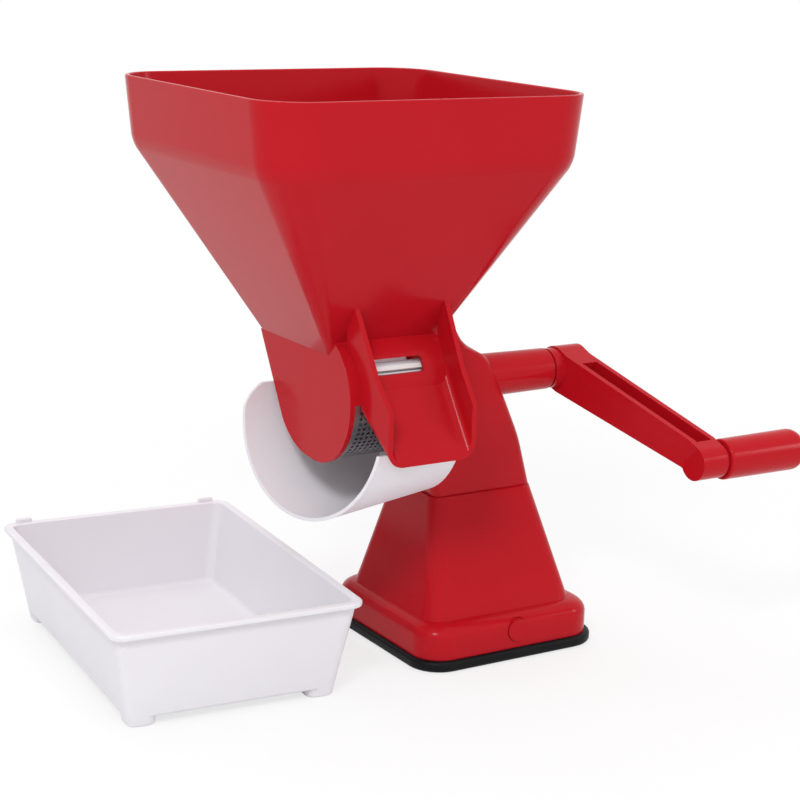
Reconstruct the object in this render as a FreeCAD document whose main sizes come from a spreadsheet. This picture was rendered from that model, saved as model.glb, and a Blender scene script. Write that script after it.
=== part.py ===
import FreeCAD, Part
import math
import operator
import os
import Sketcher
from types import SimpleNamespace

# Hand cranked food mill: a square hopper over a drum whose paddle rotor wipes the pulp through a
# half round sieve, a white chute under the drum, a peel slide in front of it, and a suction foot.
# The origin is the middle of the rubber pad on the table. +X runs along the crank axis towards the
# grip, -Y is the front with the peel slide, +Z is up. All sizes are millimetres and degrees.

SIZES = {
    # hopper
    "rim_width": 204.0, "rim_height": 340.0, "rim_corner": 28.0,
    "band_depth": 38.5, "band_inset": 4.0,
    "hopper_x": -88.5, "wall": 2.6,
    "throat_height": 194.0, "throat_length": 66.0, "throat_width": 83.4, "throat_corner": 7.0,
    # drum
    "axis_y": -26.5, "axis_z": 169.0,
    "drum_radius": 38.8, "drum_bore": 36.2, "end_wall": 3.0,
    "back_reach": 39.5, "back_drop": 23.0, "belly_angle": -80.0, "belly_radius": 43.3,
    "nose_angle": 118.0,
    # peel slide and slot
    "slide_start": 23.5, "slide_bend": 49.5, "lip_reach": 63.5,
    "slide_width": 62.0, "slide_shift": 3.7, "lip_width": 57.0, "lip_shift": 5.4, "slide_corner": 10.0,
    "rib_thickness": 3.0, "floor_thickness": 2.6, "lip_solid": 8.0,
    "rib_rise": 66.5, "bend_rib": 19.0, "lip_rib": 1.5,
    "slide_rise": 28.0, "bend_drop": 8.0, "lip_drop": 26.6,
    "slide_foot": 3.0, "bend_foot": 17.5, "lip_foot": 29.3,
    "slot_length": 33.0, "slot_height": 8.4, "slot_rise": 20.0, "slot_shift": 0.5,
    # neck and bearing tube
    "pillar_top": 97.0, "neck_wall": 3.0, "neck_step": 1.2,
    "neck_left": 38.8, "neck_right": 30.7, "neck_depth": 52.0, "neck_corner": 5.5,
    "neck_front": 14.8, "neck_back": 38.0,
    "neck_waist_right": 16.5, "neck_waist_drop": 39.0,
    "neck_shoulder_right": -1.0, "neck_shoulder_drop": 10.0,
    "gusset_foot_right": -13.0, "gusset_foot_rise": 13.5,
    "gusset_bend_right": -31.0, "gusset_bend_rise": 24.0,
    "gusset_top_right": -42.0, "gusset_top_rise": 42.0, "neck_hollow_drop": 20.0,
    "tube_end": 36.0, "tube_root_radius": 13.6, "tube_end_radius": 12.4,
    # foot and pillar
    "foot_length": 122.0, "foot_width": 117.0, "foot_corner": 18.0, "foot_height": 20.5, "foot_round": 5.0,
    "pillar_left": 51.5, "pillar_right": 48.5, "pillar_width": 91.0, "pillar_corner": 9.0,
    "flare": 5.0, "flare_height": 7.0, "shell": 3.0,
    # suction pad, stud and cam
    "pad_length": 128.0, "pad_width": 123.0, "pad_corner": 20.0, "pad_thickness": 6.7, "pad_round": 2.2,
    "pad_lip": 3.0, "pad_lip_height": 1.6, "seat_gap": 0.3,
    "stud_flange_radius": 20.0, "stud_flange": 2.2, "stud_length": 21.0, "stud_width": 16.0,
    "stud_top": 6.0, "cam_lift": 3.0, "cam_gap": 0.4,
    "lever_x": 2.3, "lever_z": 17.7, "axle_radius": 7.0, "axle_nose": 0.9, "cam_width": 24.0, "cam_step": 0.4,
    "journal_radius": 5.2, "tang": 7.0, "lever_thickness": 7.0, "lever_hub_radius": 10.8, "lever_reach": 60.0,
    "lever_end_radius": 8.0, "lever_gap": 0.6, "lever_dish": 1.6,
    # screws
    "screw_radius": 1.9, "screw_head_radius": 3.8, "screw_head": 2.6, "screw_gap": 0.1,
    "body_screw_length": 15.0, "boss_radius": 4.5, "boss_height": 18.0,
    "boss_left": 26.0, "boss_right": 16.0, "boss_pitch": 30.0,
    # shaft, bushes and rotor
    "shaft_radius": 5.0, "shaft_square": 7.0, "running_gap": 0.05, "square_gap": 0.1,
    "bush_radius": 9.0, "bush_gap": 0.03, "bush_length": 10.0, "bush_flange_radius": 12.0, "bush_flange": 1.2,
    "seal_length": 4.0, "shaft_clearance": 1.5,
    "pivot_radius": 4.0, "pivot_bush_radius": 6.0, "pivot_boss_radius": 9.0, "pivot_boss": 5.0,
    "rotor_gap": 0.8, "core_radius": 13.0, "vane_root": 13.0, "vane_tip": 9.5, "vane_radius": 33.0,
    "vane_count": 4.0, "rotor_angle": 58.0, "socket_depth": 20.0,
    "blade_thickness": 3.0, "blade_slot": 9.0, "blade_radius": 35.3, "blade_gap": 0.1,
    # sieve
    "sieve_thickness": 0.9, "sieve_start": 178.0, "sieve_span": 140.0, "sieve_flange": 6.6,
    "sieve_screw_radius": 1.3, "sieve_screw_head": 1.4, "sieve_screw_length": 6.0, "sieve_screw_pitch": 40.0,
    "hole_radius": 1.8, "hole_pitch": 7.6, "hole_columns": 7.0, "hole_rows": 11.0, "hole_margin": 9.0,
    # chute
    "chute_radius": 56.0, "chute_wall": 2.0, "chute_drop": 14.9, "chute_tilt": 8.2,
    "chute_front": 110.9, "chute_back": 138.5, "chute_end": 57.5, "mouth_lean": 5.4,
    "chute_front_drop": 24.0, "chute_back_drop": 4.0, "chute_corner": 24.0,
    "chute_dam_gap": 0.8, "chute_boss_drop": 48.5, "chute_boss_radius": 6.0,
    # crank
    "crank_radius": 110.0, "crank_angle": 20.0,
    "arm_gap": 1.0, "hub_length": 6.0, "hub_radius": 12.0, "arm_thickness": 18.0, "arm_offset": 26.0,
    "arm_hub_radius": 13.0, "arm_end_radius": 10.3, "arm_shoulder": 8.0, "arm_wall": 3.6, "arm_web": 6.0,
    "groove_margin": 17.0, "groove_stop": 6.0, "arm_waist_angle": 310.0,
    "washer_thickness": 0.8, "washer_radius": 10.0,
    "crank_screw_head_radius": 6.0, "crank_screw_head": 3.2, "crank_screw_length": 14.0,
    "collar": 1.4, "collar_radius": 9.6,
    # grip
    "grip_length": 60.0, "grip_radius": 12.3, "grip_root_radius": 12.0, "grip_round": 9.0, "grip_gap": 0.7,
    "pin_radius": 3.4, "pin_head_radius": 4.6, "pin_head": 4.0, "pin_end_gap": 8.0, "pin_inset": 2.0,
    # drip tray
    "tray_x": -177.0, "tray_y": 42.0, "tray_yaw": -4.6, "tray_length": 217.0, "tray_breadth": 149.0,
    "tray_height": 58.0, "tray_inset": 9.0, "tray_corner": 9.0, "tray_wall": 2.2, "tray_lip": 3.0,
    "tray_lip_depth": 3.0, "tray_foot": 17.0, "tray_foot_height": 5.0,
    "tab_length": 10.0, "tab_height": 2.6, "tab_thickness": 3.0,
}

# Rounded forms are drawn with short chords: per corner, per rounded edge, and round a whole turn
CORNER_CHORDS = 4
EDGE_CHORDS = 3
TURN_CHORDS = 24
SCREW_CHORDS = 8

V = FreeCAD.Vector
doc = FreeCAD.newDocument("food_mill")
sheet = doc.addObject("Spreadsheet::Sheet", "Sheet")
for row, (name, number) in enumerate(SIZES.items(), start=1):
    sheet.set(f"A{row}", name)
    sheet.set(f"B{row}", str(number))
    sheet.setAlias(f"B{row}", name)
doc.recompute()

SIGNS = {"+": operator.add, "-": operator.sub, "*": operator.mul, "/": operator.truediv}


class Size:
    # one length: its formula on the sheet, and its present number to draw a first outline with
    def __init__(self, formula, number):
        self.formula = formula
        self.number = number

    def __add__(self, other):
        return join(self, "+", other)

    def __radd__(self, other):
        return join(other, "+", self)

    def __sub__(self, other):
        return join(self, "-", other)

    def __rsub__(self, other):
        return join(other, "-", self)

    def __mul__(self, other):
        return join(self, "*", other)

    def __rmul__(self, other):
        return join(other, "*", self)

    def __truediv__(self, other):
        return join(self, "/", other)

    def __neg__(self):
        return join(0.0, "-", self)


def size(thing):
    return thing if isinstance(thing, Size) else Size(repr(float(thing)), float(thing))


def join(left, sign, right):
    left, right = size(left), size(right)
    return Size(f"({left.formula} {sign} {right.formula})", SIGNS[sign](left.number, right.number))


def cos(angle):
    return Size(f"cos({size(angle).formula})", math.cos(math.radians(size(angle).number)))


def sin(angle):
    return Size(f"sin({size(angle).formula})", math.sin(math.radians(size(angle).number)))


def tan(angle):
    return Size(f"tan({size(angle).formula})", math.tan(math.radians(size(angle).number)))


s = SimpleNamespace(**{name: Size(f"Sheet.{name}", sheet.get(name)) for name in SIZES})


# Helpers for bodies, sketches and features

def bind(thing, prop, length):
    thing.setExpression(prop, size(length).formula)


def new_body(label, x=0, y=0, z=0, turn_axis=(1, 0, 0), turn=0):
    body = doc.addObject("PartDesign::Body", label)
    body.Label = label
    body.Placement = FreeCAD.Placement(V(0, 0, 0), FreeCAD.Rotation(V(*turn_axis), size(turn).number))
    for prop, length in (("x", x), ("y", y), ("z", z)):
        bind(body, f"Placement.Base.{prop}", length)
    for prop, part in zip("xyz", turn_axis):
        bind(body, f"Placement.Rotation.Axis.{prop}", part)
    bind(body, "Placement.Rotation.Angle", turn)
    return body


def origin(body, role):
    return next(feature for feature in body.Origin.OriginFeatures if feature.Role == role)


def new_sketch(body, role, lift=0):
    sketch = body.newObject("Sketcher::SketchObject", "Sketch")
    sketch.AttachmentSupport = [(origin(body, role), "")]
    sketch.MapMode = "FlatFace"
    bind(sketch, "AttachmentOffset.Base.z", lift)
    return sketch


def turned_sketch(body, axis, angle, y=0, lift=0, role="XY_Plane"):
    # a view turned about one of its own axes, which is first moved up by y and out by lift
    sketch = new_sketch(body, role, lift)
    sketch.AttachmentOffset = FreeCAD.Placement(V(0, 0, 0), FreeCAD.Rotation(V(*axis), size(angle).number))
    bind(sketch, "AttachmentOffset.Base.y", y)
    bind(sketch, "AttachmentOffset.Rotation.Angle", angle)
    for prop, part in zip("xyz", axis):
        bind(sketch, f"AttachmentOffset.Rotation.Axis.{prop}", part)
    return sketch


def fix(sketch, rows):
    # rows are (kind, where, length), and a row without a length is a plain joint
    first = sketch.ConstraintCount
    made = []
    for kind, where, length in rows:
        number = () if length is None else (size(length).number,)
        made.append(Sketcher.Constraint(kind, *where, *number))
    sketch.addConstraint(made)
    for index, (kind, where, length) in enumerate(rows, start=first):
        if length is not None:
            sketch.setExpression(f"Constraints[{index}]", size(length).formula)


def place(edge, end, across, up):
    return [("DistanceX", (-1, 1, edge, end), across), ("DistanceY", (-1, 1, edge, end), up)]


def arc_between(start, end, radius):
    # the shorter arc from start to end, turning left for a positive radius and right for a negative one
    chord = end - start
    height = math.sqrt(max(radius * radius - chord.Length ** 2 / 4, 0))
    left = V(-chord.y, chord.x, 0).normalize()
    centre = start + chord / 2 + left * math.copysign(height, radius)
    first, last = (start, end) if radius > 0 else (end, start)
    angles = [math.atan2(point.y - centre.y, point.x - centre.x) for point in (first, last)]
    return Part.ArcOfCircle(Part.Circle(centre, V(0, 0, 1), abs(radius)), *angles)


def outline(sketch, corners):
    # corners are (across, up), or (across, up, radius) where the edge that leaves there is an arc
    base = sketch.GeometryCount
    count = len(corners)
    points = [V(size(corner[0]).number, size(corner[1]).number, 0) for corner in corners]
    edges, starts, ends = [], [], []
    for index, corner in enumerate(corners):
        here, there = points[index], points[(index + 1) % count]
        radius = size(corner[2]).number if len(corner) > 2 else 0
        edges.append(arc_between(here, there, radius) if radius else Part.LineSegment(here, there))
        starts.append(2 if radius < 0 else 1)
        ends.append(1 if radius < 0 else 2)
    sketch.addGeometry(edges)
    rows = []
    for index, corner in enumerate(corners):
        before = (index - 1) % count
        edge = base + index
        rows.append(("Coincident", (base + before, ends[before], edge, starts[index]), None))
        rows += place(edge, starts[index], corner[0], corner[1])
        if len(corner) > 2:
            turned = corner[2] if size(corner[2]).number > 0 else -size(corner[2])
            rows.append(("Radius", (edge,), turned))
    fix(sketch, rows)


def chords(across, up, radius, start, sweep, count):
    # points round part of a circle
    points = []
    for step in range(count + 1):
        angle = math.radians(start + sweep * step / count)
        points.append((across + radius * round(math.cos(angle), 9), up + radius * round(math.sin(angle), 9)))
    return points


def rectangle(sketch, left, right, low, high, corner=None):
    if corner is None:
        outline(sketch, [(left, low), (right, low), (right, high), (left, high)])
        return
    near, far, under, over = left + corner, right - corner, low + corner, high - corner
    outline(sketch, [
        *chords(far, under, corner, 270, 90, CORNER_CHORDS),
        *chords(far, over, corner, 0, 90, CORNER_CHORDS),
        *chords(near, over, corner, 90, 90, CORNER_CHORDS),
        *chords(near, under, corner, 180, 90, CORNER_CHORDS),
    ])


def polygon(sketch, across, up, radius, sides=TURN_CHORDS):
    outline(sketch, chords(across, up, radius, 0, 360, sides)[:-1])


def circle(sketch, across, up, radius):
    centre = V(size(across).number, size(up).number, 0)
    edge = sketch.addGeometry(Part.Circle(centre, V(0, 0, 1), size(radius).number))
    fix(sketch, place(edge, 3, across, up) + [("Radius", (edge,), radius)])


def feature(body, kind, sketch, **settings):
    made = body.newObject(f"PartDesign::{kind}", kind)
    made.Profile = sketch
    for prop, setting in settings.items():
        if isinstance(setting, Size):
            bind(made, prop, setting)
        else:
            setattr(made, prop, setting)
    return made


def pad(body, sketch, length, **settings):
    return feature(body, "Pad", sketch, Length=size(length), **settings)


def pocket(body, sketch, length, **settings):
    return feature(body, "Pocket", sketch, Length=size(length), **settings)


def loft(body, sketches, kind="AdditiveLoft"):
    return feature(body, kind, sketches[0], Sections=sketches[1:], Ruled=True)


def round_sketch(body, role, lift, radius, across, up, chord_count):
    sketch = new_sketch(body, role, lift)
    if chord_count:
        polygon(sketch, across, up, radius, chord_count)
    else:
        circle(sketch, across, up, radius)
    return sketch


def disc(body, role, lift, radius, length, across=0, up=0, reverse=False, chord_count=0):
    sketch = round_sketch(body, role, lift, radius, across, up, chord_count)
    return pad(body, sketch, length, Reversed=reverse)


def bore(body, role, lift, radius, length, across=0, up=0, reverse=True, chord_count=0):
    sketch = round_sketch(body, role, lift, radius, across, up, chord_count)
    return pocket(body, sketch, length, Reversed=reverse)


def edge_round(radius):
    # the steps of a rounded edge: how far it has risen, and how far it has drawn in
    for step in range(1, EDGE_CHORDS + 1):
        angle = math.radians(90 * step / EDGE_CHORDS)
        yield radius * round(math.sin(angle), 9), radius * round(1 - math.cos(angle), 9)


def soft_slab(body, half_length, half_width, corner, low, high, soft):
    # a block with rounded corners and a rounded upper edge
    levels = [(size(low), size(0)), (high - soft, size(0))]
    levels += [(high - soft + rise, inset) for rise, inset in edge_round(soft)]
    sketches = []
    for height, inset in levels:
        sketch = new_sketch(body, "XY_Plane", height)
        rectangle(sketch, -half_length + inset, half_length - inset, -half_width + inset, half_width - inset,
                  corner - inset)
        sketches.append(sketch)
    return loft(body, sketches)


def ring(label, start, length, outer, inner):
    # a plain ring on the crank axis
    body = new_body(label, y=s.axis_y, z=s.axis_z)
    sketch = new_sketch(body, "YZ_Plane", start)
    polygon(sketch, 0, 0, outer)
    circle(sketch, 0, 0, inner)
    pad(body, sketch, length)
    return body


def turned(label, profile, **where):
    # a piece turned about its own X axis from points (along, out)
    body = new_body(label, **where)
    sketch = new_sketch(body, "XY_Plane")
    outline(sketch, profile)
    feature(body, "Revolution", sketch, ReferenceAxis=(origin(body, "X_Axis"), [""]), Angle=size(360))
    return body


# Places that several pieces share

drum_left = s.hopper_x - s.throat_length / 2
drum_right = s.hopper_x + s.throat_length / 2
room_left = drum_left + s.end_wall
room_right = drum_right - s.end_wall
foot_top = s.pad_thickness + s.foot_height
foot_front = s.foot_width / 2
rotor_left = room_left + s.pivot_boss + s.rotor_gap
rotor_right = room_right - s.bush_flange - s.rotor_gap
hub_start = s.tube_end + s.arm_gap
arm_start = hub_start + s.hub_length
arm_outer = arm_start + s.arm_thickness
grip_end = arm_outer + s.arm_offset
grip_start = grip_end + s.collar + s.grip_gap
pin_start = grip_end - s.arm_thickness + s.pin_inset
sieve_stop = s.sieve_start + s.sieve_span
sieve_screw_out = s.drum_bore + s.sieve_thickness + s.sieve_flange / 2
cam_throw = s.cam_lift / 2
cam_radius = s.axle_radius - cam_throw - s.cam_step


def drum_point(angle, radius):
    return s.axis_y + radius * cos(angle), s.axis_z + radius * sin(angle)


# Hopper body: hopper, drum walls, peel slide, neck and bearing tube in one moulding

def hopper_sections(body, inset):
    levels = [
        (s.throat_height, s.throat_length, s.throat_width, s.throat_corner),
        (s.rim_height - s.band_depth, s.rim_width - 2 * s.band_inset, s.rim_width - 2 * s.band_inset,
         s.rim_corner - s.band_inset),
        (s.rim_height, s.rim_width, s.rim_width, s.rim_corner),
    ]
    sketches = []
    for height, length, width, corner in levels:
        sketch = new_sketch(body, "XY_Plane", height)
        rectangle(sketch, s.hopper_x - length / 2 + inset, s.hopper_x + length / 2 - inset,
                  -width / 2 + inset, width / 2 - inset, corner - inset)
        sketches.append(sketch)
    return sketches


def drum_outline(y, z, gap=0):
    # the drum seen along its axis, which is at y, z in that view
    radius = s.drum_radius + gap

    def at(angle):
        return y + radius * cos(angle), z + radius * sin(angle)

    return [
        (y - s.axis_y + s.throat_width / 2 + gap, z - s.axis_z + s.throat_height),
        (y + s.back_reach + gap, z - s.back_drop - gap / 2, -s.belly_radius - gap),
        (*at(s.belly_angle), -radius),
        (*at(180), -radius),
        at(s.nose_angle),
    ]


def drum_walls(body):
    sketch = new_sketch(body, "YZ_Plane", drum_left)
    outline(sketch, drum_outline(s.axis_y, s.axis_z))
    pad(body, sketch, s.throat_length)


def neck_sections(body, inset, hollow=False):
    # plan views of the neck from the parting line up to the hopper's right slope
    front, back = s.axis_y - s.neck_front, s.axis_y + s.neck_back
    half = s.neck_depth / 2
    inner = drum_right - 1
    waist = ((front - half) / 2, (back + half) / 2)
    levels = [
        (s.pillar_top, -s.neck_left, s.neck_right, -half, half),
        (s.axis_z - s.neck_waist_drop, inner + 2.5, s.neck_waist_right, *waist),
    ]
    if hollow:
        levels.append((s.axis_z - s.neck_hollow_drop, inner + 2.5, s.neck_shoulder_right, *waist))
    else:
        levels += [
            (s.axis_z - s.neck_shoulder_drop, inner, s.neck_shoulder_right, front, back),
            (s.axis_z + s.gusset_foot_rise, inner, s.gusset_foot_right, front, back),
            (s.axis_z + s.gusset_bend_rise, inner, s.gusset_bend_right, front, back),
            (s.axis_z + s.gusset_top_rise, inner, s.gusset_top_right, front, back),
        ]
    sketches = []
    for height, left, right, low, high in levels:
        sketch = new_sketch(body, "XY_Plane", height)
        rectangle(sketch, left + inset, right - inset, low + inset, high - inset, s.neck_corner - inset)
        sketches.append(sketch)
    return sketches


def between(near, far, share):
    return [first + (last - first) * share for first, last in zip(near, far)]


def slide_levels():
    # reach forward of the crank axis, left and right outer faces, rib top, floor and rib foot
    middle = s.hopper_x + s.slide_shift
    lip_middle = s.hopper_x + s.lip_shift
    start = [s.slide_start, middle - s.slide_width / 2, middle + s.slide_width / 2,
             s.rib_rise, s.slide_rise, s.slide_foot]
    lip = [s.lip_reach, lip_middle - s.lip_width / 2, lip_middle + s.lip_width / 2,
           s.lip_rib, -s.lip_drop, -s.lip_foot]
    share = (s.slide_bend - s.slide_start) / (s.lip_reach - s.slide_start)
    bend = between(start[:3], lip[:3], share) + [s.bend_rib, -s.bend_drop, -s.bend_foot]
    return start, bend, lip


def slide_section(body, reach, left, right, low, high, corner):
    # a trough seen from the front, with its two lower corners rounded
    sketch = new_sketch(body, "XZ_Plane", reach - s.axis_y)
    low, high = s.axis_z + low, s.axis_z + high
    outline(sketch, [
        (right, high), (left, high),
        *chords(left + corner, low + corner, corner, 180, 90, CORNER_CHORDS),
        *chords(right - corner, low + corner, corner, 270, 90, CORNER_CHORDS),
    ])
    return sketch


def slide(body):
    start, bend, lip = slide_levels()
    rib = s.rib_thickness
    corner = s.slide_corner
    shells = [slide_section(body, reach, left, right, foot, top, corner)
              for reach, left, right, top, floor, foot in (start, bend, lip)]
    loft(body, shells)
    troughs = [slide_section(body, reach, left + rib, right - rib, floor, s.rib_rise + corner, corner - rib)
               for reach, left, right, top, floor, foot in (start, bend, lip)]
    loft(body, troughs, "SubtractiveLoft")
    # the underside is hollow between the two ribs, up to a solid lip
    near_lip = between(bend, lip, 1 - s.lip_solid / (s.lip_reach - s.slide_bend))
    hollows = []
    for reach, left, right, top, floor, foot in (start, bend, near_lip):
        sketch = new_sketch(body, "XZ_Plane", reach - s.axis_y)
        under = s.axis_z + floor - s.floor_thickness
        rectangle(sketch, left + rib, right - rib, s.axis_z + foot - corner, under)
        hollows.append(sketch)
    loft(body, hollows, "SubtractiveLoft")


def drum_room(body):
    # the space inside the drum: open to the hopper above and to the sieve below
    shelf_top = s.axis_z - s.back_drop + s.wall
    sketch = new_sketch(body, "YZ_Plane", room_left)
    lean = (s.throat_width / 2 - s.axis_y - s.back_reach) / (s.throat_height - s.axis_z + s.back_drop)
    shelf_back = s.axis_y + s.back_reach + lean * s.wall - s.wall * 1.15
    outline(sketch, [
        (s.throat_width / 2 - s.wall * 1.15, s.throat_height),
        (shelf_back, shelf_top),
        (s.axis_y + s.drum_bore / 2, shelf_top),
        drum_point(sieve_stop, s.drum_bore - s.wall),
        drum_point(sieve_stop, s.drum_radius + s.sieve_flange * 2),
        (s.axis_y, s.axis_z - s.drum_radius * 1.5),
        (*drum_point(s.sieve_start + 80, s.drum_radius), -s.drum_radius),
        drum_point(s.sieve_start, s.drum_radius),
        (*drum_point(s.sieve_start, s.drum_bore), -s.drum_bore),
        drum_point(s.nose_angle, s.drum_bore),
    ])
    pocket(body, sketch, room_right - room_left, Reversed=True)


def sieve_screw_places():
    for side in (-1, 1):
        yield s.hopper_x + s.sieve_screw_pitch / 2 * side, sieve_screw_out


def screw_places():
    for x in (-s.boss_left, s.boss_right):
        for y in (-s.boss_pitch / 2, s.boss_pitch / 2):
            yield x, y


def hopper_body():
    body = new_body("hopper_body")
    slide(body)
    loft(body, hopper_sections(body, 0))
    drum_walls(body)
    loft(body, neck_sections(body, 0))
    tube = [new_sketch(body, "YZ_Plane", drum_right - 1), new_sketch(body, "YZ_Plane", s.tube_end)]
    polygon(tube[0], s.axis_y, s.axis_z, s.tube_root_radius)
    polygon(tube[1], s.axis_y, s.axis_z, s.tube_end_radius)
    loft(body, tube)
    drum_room(body)
    bore(body, "YZ_Plane", room_left, s.drum_bore, room_right - room_left, s.axis_y, s.axis_z)
    loft(body, hopper_sections(body, s.wall), "SubtractiveLoft")
    loft(body, neck_sections(body, s.neck_wall, hollow=True), "SubtractiveLoft")
    # pivot boss inside the left end wall, and the stepped bore through the neck and the tube
    disc(body, "YZ_Plane", room_left, s.pivot_boss_radius, s.pivot_boss, s.axis_y, s.axis_z)
    bore(body, "YZ_Plane", room_left, s.pivot_bush_radius, s.pivot_boss, s.axis_y, s.axis_z)
    bore(body, "YZ_Plane", room_right, s.shaft_radius + s.shaft_clearance, s.tube_end - room_right,
         s.axis_y, s.axis_z)
    bore(body, "YZ_Plane", room_right, s.bush_radius, s.bush_length + s.seal_length, s.axis_y, s.axis_z)
    bore(body, "YZ_Plane", s.tube_end - s.bush_length, s.bush_radius, s.bush_length, s.axis_y, s.axis_z)
    # peel slot through the front of the drum
    slot = new_sketch(body, "XZ_Plane", s.drum_bore * 0.5 - s.axis_y)
    slot_x = s.hopper_x + s.slot_shift
    rectangle(slot, slot_x - s.slot_length / 2, slot_x + s.slot_length / 2,
              s.axis_z + s.slot_rise - s.slot_height / 2, s.axis_z + s.slot_rise + s.slot_height / 2)
    pocket(body, slot, s.drum_radius * 0.5 + 4, Reversed=True)
    grips = turned_sketch(body, (1, 0, 0), sieve_stop, s.axis_y, s.axis_z)
    for x, out in sieve_screw_places():
        polygon(grips, x, out, s.sieve_screw_radius + s.screw_gap, SCREW_CHORDS)
    pocket(body, grips, s.sieve_screw_length, Reversed=True)
    # screw bosses in the neck, and the boss that carries the chute
    webs = new_sketch(body, "XY_Plane", s.pillar_top)
    for x in (-s.boss_left, s.boss_right):
        rectangle(webs, x - s.neck_wall / 2, x + s.neck_wall / 2,
                  1 - s.neck_depth / 2, s.neck_depth / 2 - s.boss_radius)
    pad(body, webs, s.boss_height)
    posts = new_sketch(body, "XY_Plane", s.pillar_top)
    for x, y in screw_places():
        polygon(posts, x, y, s.boss_radius, TURN_CHORDS)
    pad(body, posts, s.boss_height)
    holes = new_sketch(body, "XY_Plane", s.pillar_top)
    for x, y in screw_places():
        polygon(holes, x, y, s.screw_radius + s.screw_gap, SCREW_CHORDS)
    pocket(body, holes, s.boss_height - 2, Reversed=True)
    boss_z = s.axis_z - s.chute_boss_drop
    disc(body, "YZ_Plane", -s.chute_end, s.chute_boss_radius, s.chute_end - s.neck_left, s.axis_y, boss_z)
    bore(body, "YZ_Plane", -s.chute_end, s.screw_radius + s.screw_gap, s.body_screw_length, s.axis_y, boss_z,
         chord_count=SCREW_CHORDS)
    return body


# Base housing: foot and pillar, open underneath, with a deck that carries the neck

def pillar_sections(body, inset):
    half, waist = s.neck_depth / 2 + s.neck_step, s.pillar_width / 2
    levels = [
        (foot_top, -s.pillar_left - s.flare, s.pillar_right + s.flare, waist + s.flare),
        (foot_top + s.flare_height, -s.pillar_left, s.pillar_right, waist),
        (s.pillar_top, -s.neck_left - s.neck_step, s.neck_right + s.neck_step, half),
    ]
    sketches = []
    for height, left, right, side in levels:
        top = size(inset) if height is s.pillar_top else size(0)
        sketch = new_sketch(body, "XY_Plane", height - top)
        rectangle(sketch, left + inset, right - inset, -side + inset, side - inset, s.pillar_corner - inset)
        sketches.append(sketch)
    return sketches


def base_housing():
    body = new_body("base_housing")
    soft_slab(body, s.foot_length / 2, foot_front, s.foot_corner, s.pad_thickness, foot_top, s.foot_round)
    loft(body, pillar_sections(body, 0))
    room = new_sketch(body, "XY_Plane", s.pad_thickness)
    rectangle(room, -s.foot_length / 2 + s.shell, s.foot_length / 2 - s.shell,
              -foot_front + s.shell, foot_front - s.shell, s.foot_corner - s.shell)
    pocket(body, room, s.foot_height - s.shell, Reversed=True)
    hollow = pillar_sections(body, s.shell)
    loft(body, hollow, "SubtractiveLoft")
    throat = new_sketch(body, "XY_Plane", foot_top)
    rectangle(throat, -s.pillar_left - s.flare + s.shell, s.pillar_right + s.flare - s.shell,
              -s.pillar_width / 2 - s.flare + s.shell, s.pillar_width / 2 + s.flare - s.shell,
              s.pillar_corner - s.shell)
    pocket(body, throat, s.shell)
    bore(body, "XZ_Plane", s.shell - foot_front, s.axle_radius + s.running_gap, s.foot_width,
         s.lever_x, s.lever_z)
    bore(body, "XZ_Plane", -foot_front, s.journal_radius + s.running_gap, foot_front, s.lever_x, s.lever_z)
    holes = new_sketch(body, "XY_Plane", s.pillar_top)
    for x, y in screw_places():
        polygon(holes, x, y, s.screw_radius + s.screw_gap, SCREW_CHORDS)
    pocket(body, holes, s.shell)
    return body


def suction_pad():
    body = new_body("suction_pad")
    soft_slab(body, s.pad_length / 2, s.pad_width / 2, s.pad_corner, 0, s.pad_thickness, s.pad_round)
    lip = new_sketch(body, "XY_Plane", s.pad_thickness)
    for inset in (s.shell + s.seat_gap, s.shell + s.seat_gap + s.pad_lip):
        rectangle(lip, -s.foot_length / 2 + inset, s.foot_length / 2 - inset,
                  -foot_front + inset, foot_front - inset, s.foot_corner - inset)
    pad(body, lip, s.pad_lip_height)
    seat = new_sketch(body, "XY_Plane", s.pad_thickness)
    polygon(seat, s.lever_x, 0, s.stud_flange_radius + s.seat_gap)
    pocket(body, seat, s.stud_flange)
    return body


def pad_stud():
    # lifting stud: a flange bonded into the pad, and a post with a window round the cam
    window_top = s.lever_z - cam_throw + cam_radius + s.cam_gap
    window = s.axle_radius + s.cam_gap
    body = new_body("pad_stud", x=s.lever_x)
    disc(body, "XY_Plane", s.pad_thickness - s.stud_flange, s.stud_flange_radius, s.stud_flange,
         chord_count=TURN_CHORDS)
    post = new_sketch(body, "XY_Plane", s.pad_thickness)
    rectangle(post, -s.stud_length / 2, s.stud_length / 2, -s.stud_width / 2, s.stud_width / 2)
    pad(body, post, window_top + s.stud_top - s.pad_thickness)
    eye = new_sketch(body, "XZ_Plane", -s.stud_width)
    rectangle(eye, -window, window, window_top - 2 * window, window_top)
    pocket(body, eye, 2 * s.stud_width, Reversed=True)
    return body


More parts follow.
